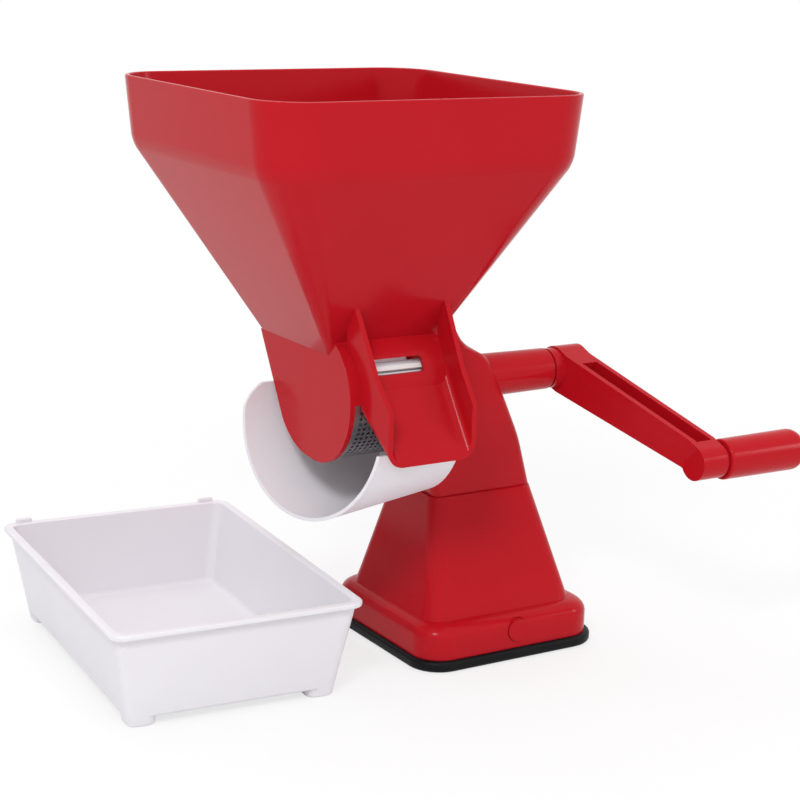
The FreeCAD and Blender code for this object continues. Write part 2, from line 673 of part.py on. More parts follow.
def cam_axle():
    # journals in the foot's front and back walls, and a thinner eccentric between them
    # a shoulder inside the back wall and the lever outside it keep the axle in place
    body = new_body("cam_axle", x=s.lever_x, z=s.lever_z)
    nose = foot_front + s.axle_nose
    shoulder = foot_front - s.shell - s.seat_gap
    for lift, radius, length, up in (
        (s.cam_width / 2, s.axle_radius, nose - s.cam_width / 2, 0),
        (-s.cam_width / 2, cam_radius, s.cam_width, -cam_throw),
        (-shoulder, s.axle_radius, shoulder - s.cam_width / 2, 0),
        (-foot_front, s.journal_radius, foot_front - shoulder, 0),
    ):
        disc(body, "XZ_Plane", lift, radius, length, up=up, chord_count=TURN_CHORDS)
    tang = new_sketch(body, "XZ_Plane", -foot_front - s.lever_gap - s.lever_thickness + s.lever_dish)
    rectangle(tang, -s.tang / 2, s.tang / 2, -s.tang / 2, s.tang / 2)
    pad(body, tang, s.lever_gap + s.lever_thickness - s.lever_dish)
    bore(body, "XZ_Plane", -foot_front - s.lever_gap - s.lever_thickness, s.screw_radius + s.screw_gap,
         s.body_screw_length, chord_count=SCREW_CHORDS)
    return body


def suction_lever():
    body = new_body("suction_lever", x=s.lever_x, z=s.lever_z)
    back = -foot_front - s.lever_gap - s.lever_thickness
    arm = new_sketch(body, "XZ_Plane", back)
    outline(arm, [
        (0, -s.lever_hub_radius), (s.lever_reach, -s.lever_end_radius, s.lever_end_radius),
        (s.lever_reach + s.lever_end_radius, 0, s.lever_end_radius),
        (s.lever_reach, s.lever_end_radius), (0, s.lever_hub_radius, s.lever_hub_radius),
        (-s.lever_hub_radius, 0, s.lever_hub_radius),
    ])
    pad(body, arm, s.lever_thickness)
    dish = new_sketch(body, "XZ_Plane", back)
    outline(dish, [
        (s.lever_hub_radius * 2, -s.lever_end_radius / 2),
        (s.lever_reach, -s.lever_end_radius / 2, s.lever_end_radius / 2),
        (s.lever_reach + s.lever_end_radius / 2, 0, s.lever_end_radius / 2),
        (s.lever_reach, s.lever_end_radius / 2), (s.lever_hub_radius * 2, s.lever_end_radius / 2),
    ])
    pocket(body, dish, s.lever_dish, Reversed=True)
    bore(body, "XZ_Plane", back, s.screw_head_radius + s.screw_gap, s.lever_dish, chord_count=SCREW_CHORDS)
    hole = new_sketch(body, "XZ_Plane", back)
    side = s.tang / 2 + s.square_gap
    rectangle(hole, -side, side, -side, side)
    pocket(body, hole, s.lever_thickness, Reversed=True)
    return body


# Screws

def lever_screw():
    body = new_body("lever_screw", x=s.lever_x, z=s.lever_z)
    seat = -foot_front - s.lever_gap - s.lever_thickness + s.lever_dish
    disc(body, "XZ_Plane", seat, s.screw_head_radius, s.screw_head, reverse=True, chord_count=SCREW_CHORDS)
    disc(body, "XZ_Plane", seat, s.screw_radius, s.body_screw_length - s.screw_head,
         chord_count=SCREW_CHORDS)
    return body


def body_screws():
    body = new_body("body_screws")
    under = s.pillar_top - s.shell
    heads = new_sketch(body, "XY_Plane", under)
    for x, y in screw_places():
        polygon(heads, x, y, s.screw_head_radius, SCREW_CHORDS)
    pad(body, heads, s.screw_head, Reversed=True)
    shanks = new_sketch(body, "XY_Plane", under)
    for x, y in screw_places():
        polygon(shanks, x, y, s.screw_radius, SCREW_CHORDS)
    pad(body, shanks, s.body_screw_length)
    return body


def chute_screw():
    dam_face = -s.chute_end - s.chute_wall
    body = new_body("chute_screw", y=s.axis_y, z=s.axis_z - s.chute_boss_drop)
    disc(body, "YZ_Plane", dam_face, s.screw_head_radius, s.screw_head, reverse=True,
         chord_count=SCREW_CHORDS)
    disc(body, "YZ_Plane", dam_face, s.screw_radius, s.body_screw_length, chord_count=SCREW_CHORDS)
    return body


def sieve_screws():
    body = new_body("sieve_screws", y=s.axis_y, z=s.axis_z, turn=sieve_stop)
    slope = s.sieve_thickness / (s.drum_bore + s.sieve_thickness)
    under = -(sieve_screw_out + s.sieve_screw_radius * 2) * slope
    heads = new_sketch(body, "XY_Plane", under)
    for x, out in sieve_screw_places():
        polygon(heads, x, out, s.sieve_screw_radius * 1.8, SCREW_CHORDS)
    pad(body, heads, s.sieve_screw_head, Reversed=True)
    shanks = new_sketch(body, "XY_Plane", under)
    for x, out in sieve_screw_places():
        polygon(shanks, x, out, s.sieve_screw_radius, SCREW_CHORDS)
    pad(body, shanks, s.sieve_screw_length)
    return body


# Bushes, seal and shaft on the crank axis

def shaft_bush():
    body = ring("shaft_bush", room_right, s.bush_length, s.bush_radius - s.bush_gap,
                s.shaft_radius + s.running_gap)
    flange = new_sketch(body, "YZ_Plane", room_right - s.bush_flange)
    circle(flange, 0, 0, s.bush_flange_radius)
    circle(flange, 0, 0, s.shaft_radius + s.running_gap)
    pad(body, flange, s.bush_flange)
    return body


def drive_shaft():
    body = new_body("drive_shaft", y=s.axis_y, z=s.axis_z)
    half = s.shaft_square / 2
    disc(body, "YZ_Plane", rotor_right, s.shaft_radius, hub_start - rotor_right)
    ends = (
        (rotor_right - s.socket_depth, s.socket_depth, s.rotor_angle),
        (hub_start, arm_outer - hub_start - 1, s.crank_angle),
    )
    for start, length, angle in ends:
        square = turned_sketch(body, (0, 0, 1), angle, lift=start, role="YZ_Plane")
        rectangle(square, -half, half, -half, half)
        pad(body, square, length)
    bore(body, "YZ_Plane", arm_outer - s.crank_screw_length, s.screw_radius + s.screw_gap,
         s.crank_screw_length, chord_count=SCREW_CHORDS)
    return body


# Rotor: a core with broad vanes, each with a wiper blade let into its tip

def rotor():
    body = new_body("rotor", y=s.axis_y, z=s.axis_z, turn=s.rotor_angle)
    long = rotor_right - rotor_left
    disc(body, "YZ_Plane", rotor_left, s.core_radius, long)
    disc(body, "YZ_Plane", room_left + s.rotor_gap, s.pivot_radius, s.pivot_boss)
    vane = new_sketch(body, "YZ_Plane", rotor_left)
    outline(vane, [(s.core_radius / 2, -s.vane_root / 2), (s.vane_radius, -s.vane_tip / 2),
                   (s.vane_radius, s.vane_tip / 2), (s.core_radius / 2, s.vane_root / 2)])
    arm = pad(body, vane, long)
    slot = new_sketch(body, "YZ_Plane", rotor_left)
    half = s.blade_thickness / 2 + s.blade_gap
    rectangle(slot, s.vane_radius - s.blade_slot, s.vane_radius + 1, -half, half)
    cut = pocket(body, slot, long, Reversed=True)
    ring_of = body.newObject("PartDesign::PolarPattern", "PolarPattern")
    ring_of.Originals = [arm, cut]
    ring_of.Axis = (origin(body, "X_Axis"), [""])
    ring_of.Angle = 360
    bind(ring_of, "Occurrences", s.vane_count)
    body.Tip = ring_of
    socket = new_sketch(body, "YZ_Plane", rotor_right)
    side = s.shaft_square / 2 + s.square_gap
    rectangle(socket, -side, side, -side, side)
    pocket(body, socket, s.socket_depth + s.rotor_gap)
    return body


def rotor_blades():
    body = new_body("rotor_blades", y=s.axis_y, z=s.axis_z, turn=s.rotor_angle)
    blade = new_sketch(body, "YZ_Plane", rotor_left)
    half = s.blade_thickness / 2
    rectangle(blade, s.vane_radius - s.blade_slot + s.blade_gap, s.blade_radius, -half, half)
    plate = pad(body, blade, rotor_right - rotor_left)
    ring_of = body.newObject("PartDesign::PolarPattern", "PolarPattern")
    ring_of.Originals = [plate]
    ring_of.Axis = (origin(body, "X_Axis"), [""])
    ring_of.Angle = 360
    bind(ring_of, "Occurrences", s.vane_count)
    body.Tip = ring_of
    return body


# Sieve: a rolled sheet with two flanges, and rows of holes round it

def sieve():
    # the body is turned so that the first row of holes looks straight down in its own frame
    first_row = s.sieve_start + s.hole_margin
    body = new_body("sieve", y=s.axis_y, z=s.axis_z, turn=first_row + 90)
    inner, outer = s.drum_bore, s.drum_bore + s.sieve_thickness
    begin = -90 - s.hole_margin
    end = begin + s.sieve_span
    half_gap = 0.4
    sketch = new_sketch(body, "YZ_Plane", room_left + half_gap)

    def at(angle, radius):
        return radius * cos(angle), radius * sin(angle)

    # the sheet is bent in flats, one for each row of holes
    bend = s.sieve_thickness / outer * 57.3
    pitch = (s.sieve_span - 2 * s.hole_margin) / (s.hole_rows - 1)
    folds = [begin + s.hole_margin + pitch * (row - 0.5) for row in range(int(s.hole_rows.number) + 1)]
    outline(sketch, [
        at(begin, inner), at(begin, s.drum_radius), at(begin + bend, s.drum_radius), at(begin + bend, outer),
        *[at(angle, outer) for angle in folds],
        at(end - bend, outer), at(end - bend, outer + s.sieve_flange), at(end, outer + s.sieve_flange),
        at(end, inner), *[at(angle, inner) for angle in reversed(folds)],
    ])
    pad(body, sketch, room_right - room_left - 2 * half_gap)
    grips = turned_sketch(body, (1, 0, 0), end)
    for x, out in sieve_screw_places():
        polygon(grips, x, out, s.sieve_screw_radius + s.screw_gap, SCREW_CHORDS)
    pocket(body, grips, 2 * s.sieve_thickness)
    columns = s.hole_pitch * (s.hole_columns - 1)
    hole = new_sketch(body, "XY_Plane")
    polygon(hole, (room_left + room_right - columns) / 2, 0, s.hole_radius, 6)
    pierced = pocket(body, hole, outer + 1)
    row = body.newObject("PartDesign::LinearPattern", "LinearPattern")
    row.Direction = (origin(body, "X_Axis"), [""])
    bind(row, "Length", columns)
    bind(row, "Occurrences", s.hole_columns)
    rows = body.newObject("PartDesign::PolarPattern", "PolarPattern")
    rows.Axis = (origin(body, "X_Axis"), [""])
    bind(rows, "Angle", s.sieve_span - 2 * s.hole_margin)
    bind(rows, "Occurrences", s.hole_rows)
    grid = body.newObject("PartDesign::MultiTransform", "MultiTransform")
    grid.Originals = [pierced]
    grid.Transformations = [row, rows]
    body.Tip = grid
    return body


# Chute: a tilted half pipe under the drum, with a slanted mouth and a dam at its closed end

def chute():
    # the pipe's own frame: its axis runs along X, tipped down towards the mouth
    body = new_body("chute", x=drum_left, y=s.axis_y, z=s.axis_z - s.chute_drop,
                    turn_axis=(0, 1, 0), turn=-s.chute_tilt)
    far = s.chute_radius + 5
    inner = s.chute_radius - s.chute_wall
    back, front = -s.chute_back - drum_left, -s.chute_front - drum_left
    lean = s.mouth_lean + s.chute_tilt
    left = back - far * tan(lean)
    end = (-s.chute_end - drum_left) / cos(s.chute_tilt)
    right = end + far * tan(s.chute_tilt)
    drum_up = s.chute_drop - end * sin(s.chute_tilt)

    def level(along, drop):
        # height, in the pipe's frame, of a level line at some drop below the crank axis
        return (s.chute_drop - drop - along * sin(s.chute_tilt)) / cos(s.chute_tilt)

    def upright():
        # an upright plane across the closed end
        return turned_sketch(body, (1, 0, 0), s.chute_tilt, lift=end, role="YZ_Plane")

    pipe = new_sketch(body, "YZ_Plane", left)
    circle(pipe, 0, 0, s.chute_radius)
    circle(pipe, 0, 0, inner)
    pad(body, pipe, right - left)
    beyond = upright()
    rectangle(beyond, -far, far, -far, far)
    pocket(body, beyond, far, Reversed=True)
    dam = upright()
    circle(dam, 0, 0, inner + s.chute_wall / 2)
    pad(body, dam, s.chute_wall, Reversed=True)
    # everything above the front and the back edge goes, and the dam is cut round the drum
    for drop, is_front in ((s.chute_front_drop, True), (s.chute_back_drop, False)):
        above = new_sketch(body, "XZ_Plane")
        outline(above, [(left - 1, level(left - 1, drop)), (right + 1, level(right + 1, drop)),
                        (right + 1, 2 * far), (left - 1, 2 * far)])
        pocket(body, above, far, Reversed=is_front)
    drum = upright()
    outline(drum, drum_outline(0, drum_up, s.chute_dam_gap))
    pocket(body, drum, 3 * s.chute_wall, Midplane=True)
    hole = upright()
    polygon(hole, 0, drum_up - s.chute_boss_drop, s.screw_radius + s.screw_gap * 3, SCREW_CHORDS)
    pocket(body, hole, 3 * s.chute_wall, Midplane=True)
    # slanted mouth, cut in plan from the long back side to the short front side
    mouth = turned_sketch(body, (0, 1, 0), lean)
    outline(mouth, [(left - far, -far), (front, -far), (front, -s.chute_radius),
                    (back, s.chute_radius), (back, far), (left - far, far)])
    pocket(body, mouth, 4 * far, Midplane=True)
    # the back side's upper corner is rounded
    soft = s.chute_corner
    top = level(back, s.chute_back_drop)
    edge = back + (top - soft) * tan(lean)
    corner = new_sketch(body, "XZ_Plane")
    outline(corner, [(left - 1, top + soft), (left - 1, top - soft), (edge, top - soft, -soft),
                     (edge + soft, top), (edge + soft, top + soft)])
    pocket(body, corner, far)
    return body


# Crank arm, drawn along its own -Y and then turned about the crank axis

def crank_arm():
    body = new_body("crank_arm", y=s.axis_y, z=s.axis_z, turn=s.crank_angle)
    long = -s.crank_radius
    side = new_sketch(body, "YZ_Plane", arm_start)
    outline(side, [
        (0, s.arm_hub_radius), (long, s.arm_end_radius, s.arm_end_radius),
        (long - s.arm_end_radius, 0, s.arm_end_radius),
        (long + s.arm_end_radius * cos(s.arm_waist_angle), s.arm_end_radius * sin(s.arm_waist_angle)),
        (0, -s.arm_hub_radius, s.arm_hub_radius),
        (s.arm_hub_radius, 0, s.arm_hub_radius),
    ])
    pad(body, side, s.arm_thickness + s.arm_offset)
    # the arm steps outwards on its way to the grip: what lies beside that slant is cut away
    near, far = -s.arm_shoulder, long + s.arm_shoulder
    end = long - 2 * s.arm_end_radius
    edge = s.arm_hub_radius + 2
    inner = new_sketch(body, "XY_Plane", -edge)
    outline(inner, [(arm_start - 1, near), (arm_start, near), (arm_start + s.arm_offset, far),
                    (arm_start + s.arm_offset, end), (arm_start - 1, end)])
    pocket(body, inner, 2 * edge, Reversed=True)
    outer = new_sketch(body, "XY_Plane", -edge)
    outline(outer, [(arm_outer, 2 * edge), (arm_outer, near), (grip_end, far), (grip_end + 1, far),
                    (grip_end + 1, 2 * edge)])
    pocket(body, outer, 2 * edge, Reversed=True)
    # a groove along the top and another along the bottom leave a web between two walls
    slope = s.arm_offset / (near - far)
    first, last = -s.groove_margin, long + s.groove_stop
    shift_first, shift_last = (near - first) * slope, s.arm_offset
    groove = [
        (arm_start + s.arm_wall + shift_first, first), (arm_start + s.arm_wall + shift_last, far),
        (arm_start + s.arm_wall + shift_last, last), (arm_outer - s.arm_wall + shift_last, last),
        (arm_outer - s.arm_wall + shift_last, far), (arm_outer - s.arm_wall + shift_first, first),
    ]
    for lift, up in ((s.arm_web / 2, True), (-s.arm_web / 2, False)):
        sketch = new_sketch(body, "XY_Plane", lift)
        outline(sketch, groove)
        pocket(body, sketch, s.arm_hub_radius, Reversed=up)
    disc(body, "YZ_Plane", hub_start, s.hub_radius, s.hub_length + 1)
    disc(body, "YZ_Plane", grip_end - 1, s.collar_radius, s.collar + 1, across=long)
    square = new_sketch(body, "YZ_Plane", hub_start)
    half = s.shaft_square / 2 + s.square_gap
    rectangle(square, -half, half, -half, half)
    pocket(body, square, arm_outer - hub_start, Reversed=True)
    # a blind hole for the grip's pin
    bore(body, "YZ_Plane", pin_start, s.pin_radius + s.running_gap, grip_end + s.collar - pin_start, across=long)
    return body


def crank_screw():
    body = new_body("crank_screw", y=s.axis_y, z=s.axis_z)
    disc(body, "YZ_Plane", arm_outer, s.crank_screw_head_radius, s.crank_screw_head,
         chord_count=TURN_CHORDS)
    disc(body, "YZ_Plane", arm_outer, s.screw_radius, s.crank_screw_length - 1, reverse=True,
         chord_count=SCREW_CHORDS)
    return body


# Grip and its pin, on an axis parallel to the crank axis

grip_axis = {
    "y": s.axis_y - s.crank_radius * cos(s.crank_angle),
    "z": s.axis_z - s.crank_radius * sin(s.crank_angle),
}
pin_end = grip_start + s.grip_length - s.pin_end_gap


def grip_pin():
    start = pin_start + s.seat_gap
    shank = pin_end - s.pin_head
    return turned("grip_pin", [
        (start, 0), (pin_end, 0), (pin_end, s.pin_radius), (shank, s.pin_head_radius),
        (shank, s.pin_radius), (start, s.pin_radius),
    ], **grip_axis)


def hand_grip():
    body = new_body("hand_grip", **grip_axis)
    end = grip_start + s.grip_length
    levels = [(grip_start, s.grip_root_radius), (end - s.grip_round, s.grip_radius)]
    levels += [(end - s.grip_round + rise, s.grip_radius - inset) for rise, inset in edge_round(s.grip_round)]
    sketches = []
    for along, radius in levels:
        sketch = new_sketch(body, "YZ_Plane", along)
        polygon(sketch, 0, 0, radius)
        sketches.append(sketch)
    loft(body, sketches)
    head_room = s.pin_head + 2 * s.grip_gap
    bore(body, "YZ_Plane", grip_start, s.pin_radius + s.running_gap, pin_end - grip_start)
    bore(body, "YZ_Plane", pin_end + s.grip_gap - head_room, s.pin_head_radius + s.grip_gap, head_room)
    return body


# Drip tray

def drip_tray():
    body = new_body("drip_tray", x=s.tray_x, y=s.tray_y, turn_axis=(0, 0, 1), turn=s.tray_yaw)
    half_x, half_y = s.tray_breadth / 2 - s.tray_lip, s.tray_length / 2 - s.tray_lip
    corner = s.tray_corner - s.tray_lip

    def plan(height, inset):
        sketch = new_sketch(body, "XY_Plane", height)
        rectangle(sketch, -half_x + inset, half_x - inset, -half_y + inset, half_y - inset, size(corner))
        return sketch

    loft(body, [plan(s.tray_foot_height, s.tray_inset), plan(s.tray_height, size(0))])
    lip = new_sketch(body, "XY_Plane", s.tray_height - s.tray_lip_depth)
    rectangle(lip, -half_x - s.tray_lip, half_x + s.tray_lip, -half_y - s.tray_lip, half_y + s.tray_lip,
              s.tray_corner)
    pad(body, lip, s.tray_lip_depth)
    loft(body, [plan(s.tray_foot_height + s.tray_wall, s.tray_inset + s.tray_wall),
                plan(s.tray_height, s.tray_wall)], "SubtractiveLoft")
    feet = new_sketch(body, "XY_Plane")
    for side_x in (-1, 1):
        for side_y in (-1, 1):
            outer_x, outer_y = (half_x - s.tray_inset) * side_x, (half_y - s.tray_inset) * side_y
            inner_x, inner_y = outer_x - s.tray_foot * side_x, outer_y - s.tray_foot * side_y
            spans = sorted((outer_x, inner_x), key=lambda one: one.number)
            rises = sorted((outer_y, inner_y), key=lambda one: one.number)
            rectangle(feet, *spans, *rises, s.tray_foot / 4)
    pad(body, feet, s.tray_foot_height)
    tabs = new_sketch(body, "XY_Plane", s.tray_height - s.tray_lip_depth)
    for side in (-1, 1):
        outer = (half_x - corner) * side
        inner = outer - s.tab_length * side
        spans = sorted((outer, inner), key=lambda one: one.number)
        rectangle(tabs, *spans, half_y + s.tray_lip - s.tab_thickness, half_y + s.tray_lip)
    pad(body, tabs, s.tray_lip_depth + s.tab_height)
    return body


PARTS = [
    hopper_body(), base_housing(), suction_pad(), pad_stud(), cam_axle(), suction_lever(), lever_screw(),
    body_screws(), chute(), chute_screw(), sieve(), sieve_screws(), shaft_bush(),
    ring("tube_bush", s.tube_end - s.bush_length, s.bush_length, s.bush_radius - s.bush_gap,
         s.shaft_radius + s.running_gap),
    ring("pivot_bush", room_left, s.pivot_boss, s.pivot_bush_radius - s.bush_gap,
         s.pivot_radius + s.running_gap),
    ring("shaft_seal", room_right + s.bush_length, s.seal_length, s.bush_radius - s.bush_gap,
         s.shaft_radius + s.seat_gap),
    ring("thrust_washer", s.tube_end + (s.arm_gap - s.washer_thickness) / 2, s.washer_thickness,
         s.washer_radius, s.shaft_radius + s.seat_gap),
    drive_shaft(), rotor(), rotor_blades(), crank_arm(), crank_screw(), grip_pin(), hand_grip(), drip_tray(),
]

doc.recompute()
for thing in doc.Objects:
    if "Invalid" in thing.State or "Error" in thing.State:
        raise RuntimeError(f"{thing.Label} failed: {thing.State}")

os.makedirs("parts", exist_ok=True)
for part in PARTS:
    if part.Shape.isNull() or not part.Shape.isValid():
        raise RuntimeError(f"{part.Label} has no valid shape")
    part.Shape.exportStep(f"parts/{part.Label}.step")
    box = part.Shape.BoundBox
    print(f"{part.Label}: {len(part.Shape.Solids)} solid, {part.Shape.Volume / 1000:.2f} cm3, "
          f"x {box.XMin:.1f} to {box.XMax:.1f}, y {box.YMin:.1f} to {box.YMax:.1f}, "
          f"z {box.ZMin:.1f} to {box.ZMax:.1f}")
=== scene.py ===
import math
import bpy
import bmesh
from mathutils import Matrix, Vector


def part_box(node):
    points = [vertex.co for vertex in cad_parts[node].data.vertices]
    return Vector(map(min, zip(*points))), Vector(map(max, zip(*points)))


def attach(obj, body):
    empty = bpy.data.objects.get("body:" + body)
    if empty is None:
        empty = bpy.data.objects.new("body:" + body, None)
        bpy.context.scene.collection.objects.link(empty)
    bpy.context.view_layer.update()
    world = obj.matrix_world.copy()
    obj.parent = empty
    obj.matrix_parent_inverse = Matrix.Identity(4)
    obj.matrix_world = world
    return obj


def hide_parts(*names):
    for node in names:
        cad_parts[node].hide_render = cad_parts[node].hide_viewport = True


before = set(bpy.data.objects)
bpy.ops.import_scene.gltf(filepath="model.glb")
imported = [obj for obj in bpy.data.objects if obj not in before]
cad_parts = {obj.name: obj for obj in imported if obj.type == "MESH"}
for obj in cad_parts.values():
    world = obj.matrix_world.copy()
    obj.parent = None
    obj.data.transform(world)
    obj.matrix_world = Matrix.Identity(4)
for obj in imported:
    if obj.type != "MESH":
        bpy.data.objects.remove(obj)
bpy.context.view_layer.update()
print("frame loaded,", len(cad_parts), "nodes")

# Pieces are modelled in millimetres, in the frame's axes, and brought to metres at the end
mm = 0.001
cornerSteps = 8
axisY, axisZ = -26.5, 169.0  # the crank axis
mergeGap, copyGap, fineSliver, sliver = 0.001, 0.002, 0.003, 0.02  # corners closer than these become one
hair = 0.02  # keeps two loops off the same height, and finds the corners on a plane


# Shader maths

class Wire:
    # one socket that can stand in a sum
    def __init__(self, paint, socket):
        self.paint = paint
        self.socket = socket

    def maths(self, operation, first, second):
        return self.paint.node("ShaderNodeMath", {"operation": operation}, {0: first, 1: second})

    def __add__(self, other):
        return self.maths("ADD", self, other)

    def __radd__(self, other):
        return self.maths("ADD", other, self)

    def __sub__(self, other):
        return self.maths("SUBTRACT", self, other)

    def __rsub__(self, other):
        return self.maths("SUBTRACT", other, self)

    def __mul__(self, other):
        return self.maths("MULTIPLY", self, other)

    def __rmul__(self, other):
        return self.maths("MULTIPLY", other, self)


class Paint:
    # one material, or the world, with its node tree
    def __init__(self, owner):
        self.owner = owner
        owner.use_nodes = True
        self.tree = owner.node_tree
        self.tree.nodes.clear()

    def node(self, kind, settings=None, sockets=None, out=0):
        made = self.tree.nodes.new(kind)
        for name, value in (settings or {}).items():
            if name == "stops":
                for stop, (place, shade) in zip(made.color_ramp.elements, value):
                    stop.position = place
                    stop.color = (shade, shade, shade, 1)
            else:
                setattr(made, name, value)
        for name, value in (sockets or {}).items():
            if isinstance(value, Wire):
                self.tree.links.new(value.socket, made.inputs[name])
            else:
                made.inputs[name].default_value = value
        return Wire(self, made.outputs[out]) if made.outputs else None

    def noise(self, where, scale, detail=2.0, rough=0.5):
        return self.node("ShaderNodeTexNoise", {"noise_dimensions": "3D"},
                         {"Vector": where, "Scale": scale, "Detail": detail, "Roughness": rough})

    def ramp(self, value, low, high):
        return self.node("ShaderNodeValToRGB", {"stops": ((low, 0), (high, 1))}, {0: value})

    def stretch(self, where, scale):
        return self.node("ShaderNodeMapping", {}, {"Vector": where, "Scale": scale})

    def mix(self, factor, first, second):
        return self.node("ShaderNodeMix", {"data_type": "RGBA"}, {0: factor, 6: first, 7: second}, out=2)

    def bump(self, height, strength, distance):
        return self.node("ShaderNodeBump", {},
                         {"Height": height, "Strength": strength, "Distance": distance})

    def backgroundRays(self):
        # 1 for the rays that show the white background, straight or in gloss and glass
        camera, gloss, glass = [self.node("ShaderNodeLightPath", out=ray)
                                for ray in ("Is Camera Ray", "Is Glossy Ray", "Is Transmission Ray")]
        return self.node("ShaderNodeClamp", {}, {0: camera + gloss + glass})


def newPaint(name):
    return Paint(bpy.data.materials.new(name))


def mouldedPlastic(name, colour, deepColour, gloss, shine):
    # glossy moulded plastic: faint colour flow, fine mould grain, small wipe marks in the gloss
    paint = newPaint(name)
    where = paint.node("ShaderNodeTexCoord", out="Object")
    flow = paint.ramp(paint.noise(where, scale=9, detail=3, rough=0.55), low=0.3, high=0.72)
    speck = paint.noise(where, scale=420, rough=0.6)
    wipes = paint.noise(paint.stretch(where, (60, 14, 25)), scale=1, detail=4, rough=0.6)
    grain = paint.noise(where, scale=1500)
    waves = paint.noise(where, scale=38, detail=1, rough=0.4)
    surface = paint.bump(grain * 0.2 + waves, strength=0.05, distance=0.0004)
    shader = paint.node("ShaderNodeBsdfPrincipled", {}, {
        "Base Color": paint.mix(flow * 0.8 + speck * 0.2, deepColour, colour),
        "Roughness": gloss + (wipes - 0.5) * 0.12 + (speck - 0.5) * 0.04,
        "Specular IOR Level": shine, "Normal": surface})
    paint.node("ShaderNodeOutputMaterial", {}, {"Surface": shader})
    return paint.owner


def padRubber(name, colour, paleColour, shine):
    # matt rubber, with a pale bloom and a fine stipple
    paint = newPaint(name)
    where = paint.node("ShaderNodeTexCoord", out="Object")
    bloom = paint.ramp(paint.noise(where, scale=30, detail=4, rough=0.65), low=0.42, high=0.8)
    stipple = paint.noise(where, scale=1300, rough=0.6)
    shader = paint.node("ShaderNodeBsdfPrincipled", {}, {
        "Base Color": paint.mix(bloom * 0.5 + stipple * 0.1, colour, paleColour),
        "Roughness": 0.42 + bloom * 0.2 + (stipple - 0.5) * 0.1,
        "Specular IOR Level": shine, "Normal": paint.bump(stipple, strength=0.25, distance=0.0004)})
    paint.node("ShaderNodeOutputMaterial", {}, {"Surface": shader})
    return paint.owner


def brushedSteel(name, colour, dullColour, gloss):
    # rolled steel: streaks along the crank axis and a slight cloudiness
    paint = newPaint(name)
    where = paint.node("ShaderNodeTexCoord", out="Object")
    streaks = paint.noise(paint.stretch(where, (40, 900, 900)), scale=1, detail=3, rough=0.6)
    cloud = paint.noise(where, scale=45, detail=3, rough=0.6)
    shader = paint.node("ShaderNodeBsdfPrincipled", {}, {
        "Base Color": paint.mix(streaks * 0.6 + cloud * 0.4, dullColour, colour),
        "Roughness": gloss + (streaks - 0.5) * 0.18 + (cloud - 0.5) * 0.1,
        "Metallic": 1.0, "Normal": paint.bump(streaks, strength=0.12, distance=0.0003)})
    paint.node("ShaderNodeOutputMaterial", {}, {"Surface": shader})
    return paint.owner


redPlastic = mouldedPlastic("redPlastic", (0.47, 0.007, 0.014, 1), (0.44, 0.006, 0.012, 1),
                            gloss=0.18, shine=0.11)
whitePlastic = mouldedPlastic("whitePlastic", (0.78, 0.765, 0.80, 1), (0.745, 0.73, 0.77, 1),
                              gloss=0.37, shine=0.22)
bushPlastic = mouldedPlastic("bushPlastic", (0.72, 0.70, 0.63, 1), (0.64, 0.62, 0.55, 1),
                             gloss=0.42, shine=0.40)
blackRubber = padRubber("blackRubber", (0.004, 0.004, 0.005, 1), (0.013, 0.013, 0.014, 1), shine=0.12)
bladeRubber = padRubber("bladeRubber", (0.76, 0.75, 0.75, 1), (0.80, 0.79, 0.79, 1), shine=0.30)
sieveSteel = brushedSteel("sieveSteel", (0.42, 0.42, 0.43, 1), (0.28, 0.28, 0.29, 1), gloss=0.36)
brightSteel = brushedSteel("brightSteel", (0.66, 0.66, 0.67, 1), (0.52, 0.52, 0.53, 1), gloss=0.26)
print("finishes made")


# Modelling helpers

def cornerLoop(bm, before, verts, corner):
    # rounds these corners of the new face, and keeps its edges without the face
    if corner:
        bmesh.ops.bevel(bm, geom=verts, offset=corner, offset_type="OFFSET", segments=cornerSteps,
                        profile=0.5, affect="VERTICES", material=-1)
    face = next(one for one in bm.faces if one not in before)
    edges = list(face.edges)
    bmesh.ops.delete(bm, geom=[face], context="FACES_ONLY")
    return edges


def roundedLoop(bm, x, y, z, halfX, halfY, corner):
    # a level rounded rectangle of edges
    before = set(bm.faces)
    spot = Matrix.Translation((x, y, z)) @ Matrix.Diagonal((halfX, halfY, 1, 1))
    made = bmesh.ops.create_grid(bm, x_segments=1, y_segments=1, size=1, matrix=spot)
    return cornerLoop(bm, before, made["verts"], corner)


def joinLoops(bm, loops, closed=False):
    # a skin from loop to loop, closed into a ring or capped at both ends
    pairs = list(zip(loops, loops[1:]))
    if closed:
        pairs.append((loops[-1], loops[0]))
    for first, second in pairs:
        bmesh.ops.bridge_loops(bm, edges=first + second)
    if not closed:
        for loop in (loops[0], loops[-1]):
            bmesh.ops.contextual_create(bm, geom=loop)
    bmesh.ops.recalc_face_normals(bm, faces=bm.faces)
    return loops


def loft(bm, levels, closed=False):
    return joinLoops(bm, [roundedLoop(bm, *level) for level in levels], closed)


def soften(bm, edges, radius, steps=3):
    bmesh.ops.bevel(bm, geom=edges, offset=radius, offset_type="OFFSET", segments=steps, profile=0.5,
                    affect="EDGES", material=-1, clamp_overlap=True)


def sharpEdges(bm, angle=38):
    limit = math.radians(angle)
    return [edge for edge in bm.edges if edge.is_manifold and edge.calc_face_angle(0) > limit]


def arcPoints(middle, radius, first, last, steps):
    turns = [math.radians(first + (last - first) * step / steps) for step in range(steps + 1)]
    return [(middle[0] + radius * math.cos(turn), middle[1] + radius * math.sin(turn)) for turn in turns]


